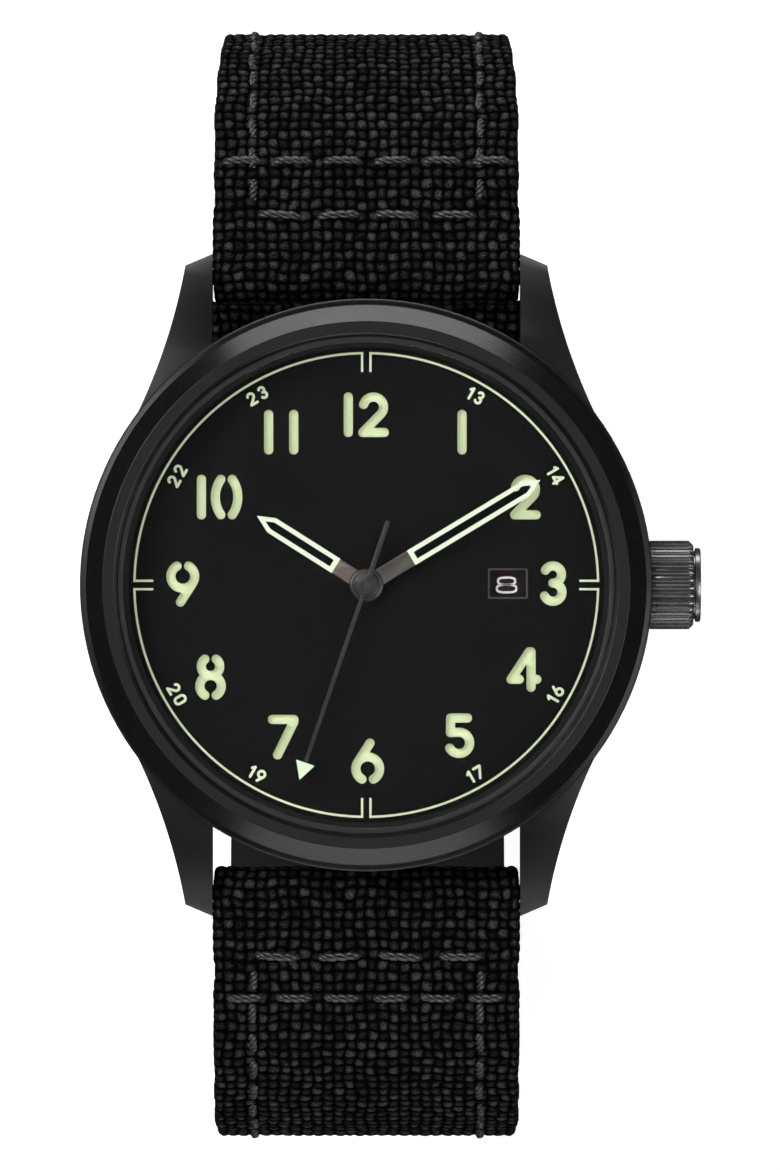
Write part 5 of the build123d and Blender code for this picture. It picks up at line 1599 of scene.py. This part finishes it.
@dataclass
class Weave:
    """The relief of a plain weave of round yarns, with uneven yarns from a fixed seed."""

    pitch: float = 0.79
    yarn: float = 0.17
    crimp: float = 0.11
    fill: float = 0.94
    wander: float = 0.15
    jitter: float = 0.12
    sunk: float = 0.2
    yarns: int = 512
    spare_yarns: int = 200
    seed: int = 7

    def relief(self, along: np.ndarray, across: np.ndarray) -> tuple[np.ndarray, np.ndarray, np.ndarray]:
        """Height of the cloth over its even face, and where the wandering yarns lie.

        Args:
            along: Yarn counts along the strap, one for each row.
            across: Yarn counts across it, one for each column.

        Returns:
            Heights in millimetres and the two yarn counts, rows by columns.
        """
        chance = np.random.default_rng(self.seed)
        u, v = along[:, None], across[None, :]
        u = u + self.wander * np.sin(0.9 * v + 1.7 * np.sin(0.37 * u)) * np.cos(0.53 * u)
        v = v + self.wander * np.sin(0.8 * u + 1.3 * np.sin(0.41 * v)) * np.cos(0.47 * v)
        u = u + self.jitter * np.sin(2.7 * v + 0.9 * u) * np.sin(1.9 * u)
        v = v + self.jitter * np.sin(2.3 * u + 1.1 * v) * np.sin(2.2 * v)
        row, column = np.floor(u).astype(int), np.floor(v).astype(int)
        in_row, in_column = u - row - 0.5, v - column - 0.5
        top = np.where((row + column) % 2 == 0, 1.0, -1.0)
        thick = chance.uniform(0.82, 1.14, (2, self.yarns))
        warp, weft = (
            self.crimp * rise * np.cos(np.pi * ahead)
            + self.yarn * size[(number + self.spare_yarns) % self.yarns]
            * np.sqrt(np.clip(1 - (2 * aside / self.fill) ** 2, 0, 1))
            for rise, ahead, aside, size, number in (
                (top, in_row, in_column, thick[0], column), (-top, in_column, in_row, thick[1], row)))
        return np.maximum(warp, weft) - self.sunk, u, v


@dataclass
class Course:
    """A path of a cloth layer in the (y, z) plane, sampled evenly by its own length."""

    y: np.ndarray
    z: np.ndarray
    length: np.ndarray

    @classmethod
    def through(cls, spots: list[tuple[float, float]], softness: int = 5, closed: bool = False) -> "Course":
        """A smoothed path through places.

        Args:
            spots: (y, z) places about 0.1 mm apart.
            softness: How many neighbours are averaged on each side.
            closed: Whether the path ends where it starts.

        Returns:
            The course.
        """
        data = np.array(spots)
        if softness:
            reach = np.arange(-softness, softness + 1)
            share = np.exp(-(reach / (0.5 * softness)) ** 2)
            share /= share.sum()
            mode = "wrap" if closed else "edge"
            padded = np.pad(data, ((softness, softness), (0, 0)), mode=mode)
            data = np.stack([np.convolve(padded[:, axis], share, mode="valid") for axis in (0, 1)], axis=1)
        if closed:
            data = np.vstack([data, data[:1]])
        steps = np.hypot(*np.diff(data, axis=0).T)
        return cls(data[:, 0], data[:, 1], np.concatenate([[0], np.cumsum(steps)]))

    def at(self, marks: np.ndarray) -> tuple[np.ndarray, np.ndarray]:
        """The y and z at distances along the path."""
        return np.interp(marks, self.length, self.y), np.interp(marks, self.length, self.z)

    @classmethod
    def evenly(cls, spots: list[tuple[float, float]], short: float = 0.0) -> list[tuple[float, float]]:
        """The same path with places every STEP.

        Args:
            spots: (y, z) places.
            short: How far before the path's end the last place may stand.

        Returns:
            The new places.
        """
        rough = cls.through(spots, 0)
        return list(zip(*rough.at(np.arange(0, rough.length[-1] - short, STEP))))

    def sampled(self, marks: np.ndarray) -> tuple[np.ndarray, np.ndarray, np.ndarray, np.ndarray]:
        """Places and outward normals at distances.

        Args:
            marks: Distances in millimetres.

        Returns:
            y, z and the two parts of the normal.
        """
        behind, ahead = (self.at(np.clip(marks + step, 0, self.length[-1])) for step in (-STEP / 2, STEP / 2))
        dy, dz = (after - before for before, after in zip(behind, ahead))
        size = np.hypot(dy, dz)
        return *self.at(marks), -dz / size, dy / size

    def nearest(self, y: float, lowest: float, after: float) -> float:
        """The distance where the path crosses a y, on its part above a height.

        Args:
            y: The y looked for.
            lowest: Parts below this z are left out.
            after: Parts before this distance are left out.

        Returns:
            The distance in millimetres.
        """
        away = np.where((self.z > lowest) & (self.length > after), np.abs(self.y - y), 1e9)
        return float(self.length[int(np.argmin(away))])


@dataclass
class ClothLayer:
    """A closed band of cloth or lining that follows a course."""

    course: Course
    half_width: float
    thickness: float
    weave: Weave | None
    fine_until: float = 0.0
    fine_rows: int = 5
    coarse_rows: int = 3
    columns: int = 5
    plain_columns: int = 9
    edge: float = 0.3
    scallop: float = 0.09
    far_half_width: float | None = None
    taper_start: float = -8.0
    taper_end: float = -57.0
    presses: list[tuple[float, float, float]] = field(default_factory=list)
    press_columns: list[tuple[float, float, float]] = field(default_factory=list)
    closed: bool = False

    def marks(self) -> np.ndarray:
        """The distances of the rows: fine first, then coarser.

        Returns:
            Distances in millimetres.
        """
        pitch = self.weave.pitch if self.weave else 0.8
        whole = self.course.length[-1]
        if self.closed:
            count = round(whole / pitch) * self.fine_rows
            return np.arange(count) * whole / count
        fine = np.arange(0.0, min(self.fine_until, whole), pitch / self.fine_rows)
        start = fine[-1] + pitch / self.fine_rows if len(fine) else 0.0
        coarse = np.arange(start, whole, pitch / self.coarse_rows)
        return np.append(np.concatenate([fine, coarse]), whole)

    def widths(self, z: np.ndarray) -> np.ndarray:
        """Half the width of each row.

        Args:
            z: The rows' heights.

        Returns:
            Half the widths in millimetres.
        """
        if self.far_half_width is None:
            return np.full_like(z, self.half_width)
        share = np.clip((self.taper_start - z) / (self.taper_start - self.taper_end), 0, 1)
        return self.half_width + (self.far_half_width - self.half_width) * share

    def mesh(self, name: str, mirrored: bool) -> bpy.types.Mesh:
        """Builds the band.

        Args:
            name: The mesh's name.
            mirrored: Whether it is for the 6 o'clock side.

        Returns:
            The closed mesh with its UV map in yarns.
        """
        marks = self.marks()
        y, z, normal_y, normal_z = self.course.sampled(marks)
        half = self.widths(z)
        if self.weave:
            along = marks / self.weave.pitch
            count = max(2, round(2 * (self.half_width - self.edge) / self.weave.pitch * self.columns))
            across = (np.arange(count + 1) / count * 2 - 1) * (self.half_width - self.edge) / self.weave.pitch
            height, rows_at, columns_at = self.weave.relief(along, across)
            wave = np.abs(np.cos(np.pi * along)) ** 0.7 + 0.7 * np.sin(0.31 * along + np.sin(0.83 * along))
            half = half + self.scallop * (1.4 * wave - 1)
        else:
            along = marks
            across = np.linspace(-1, 1, self.plain_columns) * (self.half_width - self.edge)
            height = np.zeros((len(marks), len(across)))
            rows_at, columns_at = np.broadcast_arrays(along[:, None], across[None, :])
        shares = across / across[-1]
        scale = self.weave.pitch if self.weave else 1.0
        for centre, reach, depth in self.presses:
            height -= depth * np.exp(-((marks[:, None] - centre) / reach) ** 2)
        for centre, reach, depth in self.press_columns:
            height -= depth * np.exp(-((across[None, :] * scale - centre) / reach) ** 2)
        edge, drop, round_off, low_edge = self.edge, self.thickness, self.edge * 0.29, self.edge * 0.5
        tail_x = np.array([round_off, 0.0, 0.0, low_edge, low_edge, 0.0, 0.0, round_off])
        tail_n = np.array([-round_off, -edge, low_edge - drop, -drop, -drop, low_edge - drop, -edge, -round_off])
        sides = np.array([1, 1, 1, 1, -1, -1, -1, -1])
        tail = len(sides)
        x = np.concatenate([shares[None, :] * (half[:, None] - edge), sides[None, :] * (half[:, None] - tail_x)],
                           axis=1)
        lift = np.concatenate([height, np.broadcast_to(tail_n, (len(marks), tail))], axis=1)
        flip = -1.0 if mirrored else 1.0
        points = np.stack([x, flip * (y[:, None] + lift * normal_y[:, None]), z[:, None] + lift * normal_z[:, None]],
                          axis=2)
        rows, ring = points.shape[:2]
        starts, places = np.arange(rows if self.closed else rows - 1)[:, None] * ring, np.arange(ring)[None, :]
        first, right = starts + places, starts + (places + 1) % ring
        up, up_right = (first + ring) % (rows * ring), (right + ring) % (rows * ring)
        quads = np.stack([first, right, up_right, up], axis=2).reshape(-1, 4)
        if mirrored:
            quads = quads[:, ::-1]
        faces = quads.tolist()
        if not self.closed:
            low, high = list(range(ring)), list(range((rows - 1) * ring, rows * ring))
            faces += [low[::-1], high] if not mirrored else [low, high[::-1]]
        made = mesh_of(name, points.reshape(-1, 3), faces)
        back = np.broadcast_to(np.linspace(across[-1], across[0], tail + 2)[1:-1], (len(marks), tail))
        behind = np.broadcast_to(along[:, None], (len(marks), tail))
        spread = np.stack([np.concatenate(pair, axis=1) for pair in ((columns_at, back), (rows_at, behind))], axis=2)
        self.lay_uv(made, spread.reshape(-1, 2))
        return made

    def lay_uv(self, mesh: bpy.types.Mesh, spread: np.ndarray) -> None:
        """Stores the yarn counts as the UV map.

        Args:
            mesh: The band's mesh.
            spread: The two yarn counts of each point.
        """
        layer = mesh.uv_layers.new(name="yarns")
        corners = np.zeros(len(mesh.loops), dtype=np.int64)
        mesh.loops.foreach_get("vertex_index", corners)
        layer.data.foreach_set("uv", spread[corners].ravel())


@dataclass
class Seam:
    """A straight row of stitches across the strap."""

    y: float
    left: float
    right: float
    count: int
    length: float


@dataclass
class StrapHalf:
    """One half of the strap: canvas face, lining, stitches and the cuts through them."""

    shop: Workshop
    line: StrapLine
    node: str
    mirrored: bool
    seams: list[Seam]
    far_fold: bool
    seed: int
    width: float = 21.9
    thickness: float = 2.3
    far_width: float | None = None
    fold_radius: float = 1.75
    flap: float = 14.0
    far_flap: float = 9.0
    lap: float = 0.15
    layer: float = 1.12
    seam_floor: float = -12.0
    press: float = 0.3
    column_x: float = 8.2
    column_step: float = 2.5
    column_after: float = 1.9
    column_before_bar: float = 9.0
    column_before_tip: float = 6.0
    stitch_length: float = 1.9
    column_sunk: float = 0.22
    thread_scale: float = 1.12
    taper_start: float = -8.0
    taper_end: float = -57.0
    fine_reach: float = 46.0
    fold_reach: float = 5.0
    slot_width: float = 3.1
    slot_length: float = 7.2
    hole_radius: float = 1.0
    hole_pitch: float = 6.0
    hole_count: int = 7
    hole_from_tip: float = 17.0
    tip_radius: float = 7.0
    cut_depth: float = 8.0
    tip_spare: float = 2.0
    tip_cut_half: float = 3.0
    end_row: tuple[float, ...] = (-6.0, -2.0, 2.0, 6.0)
    end_row_after: float = 1.2
    stitch_lean: float = 5
    stitch_shift: float = 0.08
    stitch_seed: int = 3
    thread_length: float = 3.0
    thread_lift: float = 0.14
    thread_dive: float = 0.5
    ply_radius: float = 0.15
    ply_offset: float = 0.155
    ply_pitch: float = 2.1

    def fold(self) -> Outline:
        """The cloth's way round a bar.

        Returns:
            (distance, lift) from the bar, inner side first.
        """
        half = self.thickness / 2
        lead = [(self.fold_reach, half), (4.2, half + 0.01), (3.4, half + 0.05), (2.6, half + 0.15), (1.9, half + 0.29),
                (1.3, half + 0.43)]
        arc = [(self.fold_radius * math.cos(math.radians(turn)), self.fold_radius * math.sin(math.radians(turn)))
               for turn in range(-70, -291, -10)]
        return [(d, -lift) for d, lift in lead] + arc + [(d, lift) for d, lift in reversed(lead)]

    def face_course(self) -> Course:
        """The outer face of the canvas: flap, fold, outer side and, on the buckle side, a second fold.

        Returns:
            The course.
        """
        half, whole = self.thickness / 2, self.line.length()
        reach = self.fold_reach
        near = [(d, -half) for d in np.arange(self.flap, reach, -STEP)] + self.fold()
        if self.far_fold:
            body = [(d, half) for d in np.arange(reach + STEP, whole - reach, STEP)]
            far = [(whole - d, -lift) for d, lift in self.fold()]
            back = [(whole - d, -half) for d in np.arange(reach + STEP, self.far_flap, STEP)]
            flat = near + body + far + back
        else:
            flat = near + [(d, half) for d in np.arange(reach + STEP, whole, STEP)]
        return Course.through(Course.evenly([self.line.spot(d, lift) for d, lift in flat]))

    def lining_course(self) -> Course:
        """The inner face of the lining, from the far end back to the flap.

        Returns:
            The course.
        """
        end = self.line.length() - (self.far_flap - self.lap if self.far_fold else 0.0)
        marks = np.append(np.arange(end, self.flap - self.lap + STEP / 2, -STEP), self.flap - self.lap)
        return Course.through([self.line.spot(d, -self.thickness / 2) for d in marks], 2)

    def build(self) -> None:
        """Makes the canvas, the lining and the stitches."""
        taper = {"far_half_width": self.far_width / 2 if self.far_width else None,
                 "taper_start": self.taper_start, "taper_end": self.taper_end}
        face = self.face_course()
        rows = [face.nearest(seam.y, self.seam_floor, self.flap + self.fold_reach) for seam in self.seams]
        canvas = ClothLayer(face, self.width / 2, self.layer, Weave(seed=self.seed),
                            self.flap + self.fine_reach, presses=[(mark, self.press, 0.1) for mark in rows],
                            press_columns=[(side * self.column_x, self.press, 0.07) for side in (-1, 1)], **taper)
        lining = ClothLayer(self.lining_course(), self.width / 2, self.layer, None, coarse_rows=2, edge=0.25, **taper)
        for finish, layer in (("canvas", canvas), ("lining", lining)):
            name = f"{self.node}_{finish}"
            mesh = self.shop.carved(layer.mesh(name, self.mirrored), self.cutter())
            self.shop.piece(name, mesh, finish, self.node, "canvas", (self.node,))
        self.shop.piece(self.node + "_stitches", self.stitches(face, rows), "thread", self.node, "canvas")

    def cutter(self) -> bpy.types.Mesh:
        """What is cut through both layers: the tongue slot, or the holes and the rounded tip.

        Returns:
            The closed mesh.
        """
        shape = bmesh.new()
        flip = Matrix.Diagonal((1, -1, 1, 1)) if self.mirrored else Matrix.Identity(4)
        whole = self.line.length()

        def seat(distance: float) -> Matrix:
            """The place on the line at a distance, with X across and Z outwards."""
            y, z, heading = self.line.at(distance)
            return flip @ Matrix.Translation((0, y * MM, z * MM)) @ Matrix.Rotation(heading, 4, "X")

        if self.far_fold:
            size = Matrix.Diagonal((self.slot_width * MM, self.slot_length * MM, self.cut_depth * MM, 1))
            bmesh.ops.create_cube(shape, size=1.0, matrix=seat(whole) @ size)
        else:
            for index in range(self.hole_count):
                add_cylinder(shape, self.hole_radius, self.cut_depth, 28,
                             seat(whole - self.hole_from_tip - self.hole_pitch * index))
            corner, half, spare = self.tip_radius, (self.far_width or self.width) / 2, self.tip_spare
            for side in (-1, 1):
                flat = [(side * (half + spare), spare), (side * (half + spare), -corner)]
                flat += [(side * (half - corner + corner * math.cos(turn)), -corner + corner * math.sin(turn))
                         for turn in (math.radians(step) for step in range(0, 91, 6))]
                flat.append((side * (half - corner), spare))
                low, high = ([shape.verts.new(seat(whole) @ Vector((x * MM, y * MM, z * MM))) for x, y in flat]
                             for z in (-self.tip_cut_half, self.tip_cut_half))
                shape.faces.new(low)
                shape.faces.new(list(reversed(high)))
                for index in range(len(flat)):
                    onward = (index + 1) % len(flat)
                    shape.faces.new((low[index], high[index], high[onward], low[onward]))
        bmesh.ops.recalc_face_normals(shape, faces=shape.faces)
        return handed_over(shape, "strap_cutter")

    def stitches(self, face: Course, rows: list[float]) -> bpy.types.Mesh:
        """All the stitches of this half.

        Args:
            face: The canvas face's course.
            rows: Distances of the cross seams on it.

        Returns:
            The realised mesh.
        """
        spots: list[tuple[float, float, float, float, float]] = []
        for seam, mark in zip(self.seams, rows):
            step = (seam.right - seam.left - seam.length) / max(1, seam.count - 1)
            spots += [(seam.left + seam.length / 2 + index * step, mark, 0.0, seam.length, 0.0)
                      for index in range(seam.count)]
        end = face.length[-1] - (self.far_flap + self.column_before_bar if self.far_fold else self.column_before_tip)
        for side in (-1, 1):
            spots += [(side * self.column_x, mark, 90.0, self.stitch_length, self.column_sunk)
                      for mark in np.arange(rows[0] + self.column_after, end, self.column_step)]
        if not self.far_fold:
            spots += [(x, end + self.end_row_after, 0.0, self.thread_length, 0.0) for x in self.end_row]
        chance = np.random.default_rng(self.stitch_seed)
        points, turns, sizes = [], [], []
        flip = -1.0 if self.mirrored else 1.0
        for x, mark, turn, length, sunk in spots:
            y, z, normal_y, normal_z = (float(part[0]) for part in face.sampled(np.array([mark])))
            lean = math.radians(turn + chance.uniform(-self.stitch_lean, self.stitch_lean))
            up = Vector((0, flip * normal_y, normal_z))
            across = Vector((1, 0, 0))
            forward = up.cross(across)
            line = (across * math.cos(lean) + forward * math.sin(lean)).normalized()
            basis = Matrix((line, up.cross(line), up)).transposed()
            points.append((x + chance.uniform(-self.stitch_shift, self.stitch_shift), flip * (y - sunk * normal_y),
                           z - sunk * normal_z))
            turns.append(tuple(basis.to_euler()))
            sizes.append((length / self.thread_length, self.thread_scale, self.thread_scale))
        carrier = mesh_of("stitch_places", points, [])
        for key, rows_of in zip(STITCH_ATTRIBUTES, (turns, sizes)):
            layer = carrier.attributes.new(key, "FLOAT_VECTOR", "POINT")
            layer.data.foreach_set("vector", np.array(rows_of, dtype=np.float32).ravel())
        template = placed("one_stitch", self.thread())
        made = run_tree(self.shop, carrier, stitch_tree(), {
            "Stitch": template, "Finish": self.shop.finishes["thread"]})
        bpy.data.objects.remove(template)
        return made

    def thread(self) -> bpy.types.Mesh:
        """One three-ply stitch that dives into the cloth at its ends.

        Returns:
            The mesh, along X.
        """
        plies, sides, steps, half = 3, 5, 10, self.thread_length / 2
        points, faces = [], []
        for ply in range(plies):
            first = len(points)
            for step in range(steps + 1):
                x = -half + 2 * half * step / steps
                share = abs(x) / half
                middle = self.thread_lift - self.thread_dive * share ** 4
                turn = 2 * math.pi * (ply / plies + x / self.ply_pitch)
                offset = self.ply_offset * (1 - 0.5 * share ** 4)
                cy, cz = offset * math.cos(turn), middle + offset * math.sin(turn)
                for side in range(sides):
                    angle = 2 * math.pi * side / sides
                    points.append((x, cy + self.ply_radius * math.cos(angle),
                                   cz + self.ply_radius * math.sin(angle)))
            for step in range(steps):
                for side in range(sides):
                    near = first + step * sides
                    onward = (side + 1) % sides
                    faces.append((near + side, near + onward, near + sides + onward, near + sides + side))
            faces.append(tuple(first + side for side in reversed(range(sides))))
            faces.append(tuple(first + steps * sides + side for side in range(sides)))
        return mesh_of("one_stitch", points, faces)


@dataclass
class Keeper:
    """A woven loop round the strap, closed on itself."""

    shop: Workshop
    line: StrapLine
    node: str
    body: str
    back: float
    length: float = 4.6
    wall: float = 1.1
    strap_width: float = 21.9
    strap_thickness: float = 2.3
    side_gap: float = 0.3
    snug_gap: float = 0.3
    loose_gap: float = 2.5
    corner: float = 1.5
    relief_spare: float = 0.05
    seed: int = 5

    def build(self) -> None:
        """Makes the loop round its own place on the strap's line."""
        half_x = self.strap_width / 2 + self.side_gap + self.wall
        inner = self.strap_thickness + self.snug_gap + self.loose_gap
        half_z = inner / 2 + self.wall
        corner = self.corner
        path: list[tuple[float, float]] = []
        for sx, sz, start in ((1, 1, 0), (-1, 1, 90), (-1, -1, 180), (1, -1, 270)):
            path += [(sx * (half_x - corner) + corner * math.cos(math.radians(start + step)),
                      sz * (half_z - corner) + corner * math.sin(math.radians(start + step)))
                     for step in range(0, 91, 10)]
        loop = Course.through(Course.evenly(path + path[:1], STEP / 2), 3, True)
        # The band's maker wants its outward side on the left of the way it goes, so the loop is walked backwards.
        loop = Course(loop.y[::-1].copy(), loop.z[::-1].copy(), loop.length)
        band = ClothLayer(loop, self.length / 2, self.wall - self.relief_spare, Weave(seed=self.seed), closed=True)
        mesh = band.mesh(self.node + "_canvas", False)
        y, z, heading = self.line.at(self.line.length() - self.back)
        lift = (self.loose_gap - self.snug_gap) / 2
        # In the band x is across it, y and z are the loop's plane: that becomes y, x and z of the strap.
        turn = Matrix(((0, 1, 0, 0), (1, 0, 0, 0), (0, 0, 1, 0), (0, 0, 0, 1)))
        seat = Matrix.Translation((0, y * MM, z * MM)) @ Matrix.Rotation(heading, 4, "X")
        mesh.transform(seat @ Matrix.Translation((0, 0, lift * MM)) @ turn)
        turn_outwards(mesh)
        # The keeper gets the darker canvas, which is painted shade.
        self.shop.piece(self.node + "_canvas", mesh, "shaded_canvas", self.body, "canvas", (self.node,))


@dataclass
class Strap:
    """Both strap halves, the keepers and the buckle."""

    shop: Workshop

    def build(self) -> None:
        """Makes the soft pieces and eases the metal ones."""
        short = StrapLine(5.5, 14.7, 3.0, 17.0, 18.0)
        long = StrapLine(5.5, 14.7, 23.0, 19.0, 38.0)
        StrapHalf(self.shop, short, "strap_short", False, [
            Seam(26.63, -7.85, 8.05, 4, 3.35), Seam(30.5, -10.4, 10.5, 6, 3.0),
        ], True, 7, far_width=20.85, taper_start=-0.5, taper_end=-9.0).build()
        StrapHalf(self.shop, long, "strap_long", True, [
            Seam(26.75, -8.05, 8.6, 4, 3.4), Seam(29.75, -10.1, 10.1, 6, 2.85),
        ], False, 11, far_width=20.6).build()
        Keeper(self.shop, short, "fixed_keeper", "strap_short", 7.6).build()
        Keeper(self.shop, short, "free_keeper", "free_keeper", 15.3).build()
        for node, body in (("buckle_frame", "buckle"), ("buckle_tongue", "tongue")):
            self.shop.piece(node + "_eased", self.shop.eased_copy(node, 0.28, 4), "black_steel", body,
                            "black_steel", (node,))
        self.shop.dress(buckle_bar="steel")


def corners() -> list[list[float]]:
    """The shown object's lowest and highest corners, as plain lists."""
    return [list(corner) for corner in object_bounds()]


def main() -> None:
    """Builds the studio and the watch."""
    logging.basicConfig(level=logging.INFO, format="%(name)s: %(message)s")
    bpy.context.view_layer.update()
    shop = Workshop(Finishes())
    Studio().build()
    for part in (WatchCase(shop), Crown(shop), Dial(shop), Hands(shop), Movement(shop), Strap(shop)):
        part.build()


if __name__ == "__main__":
    main()
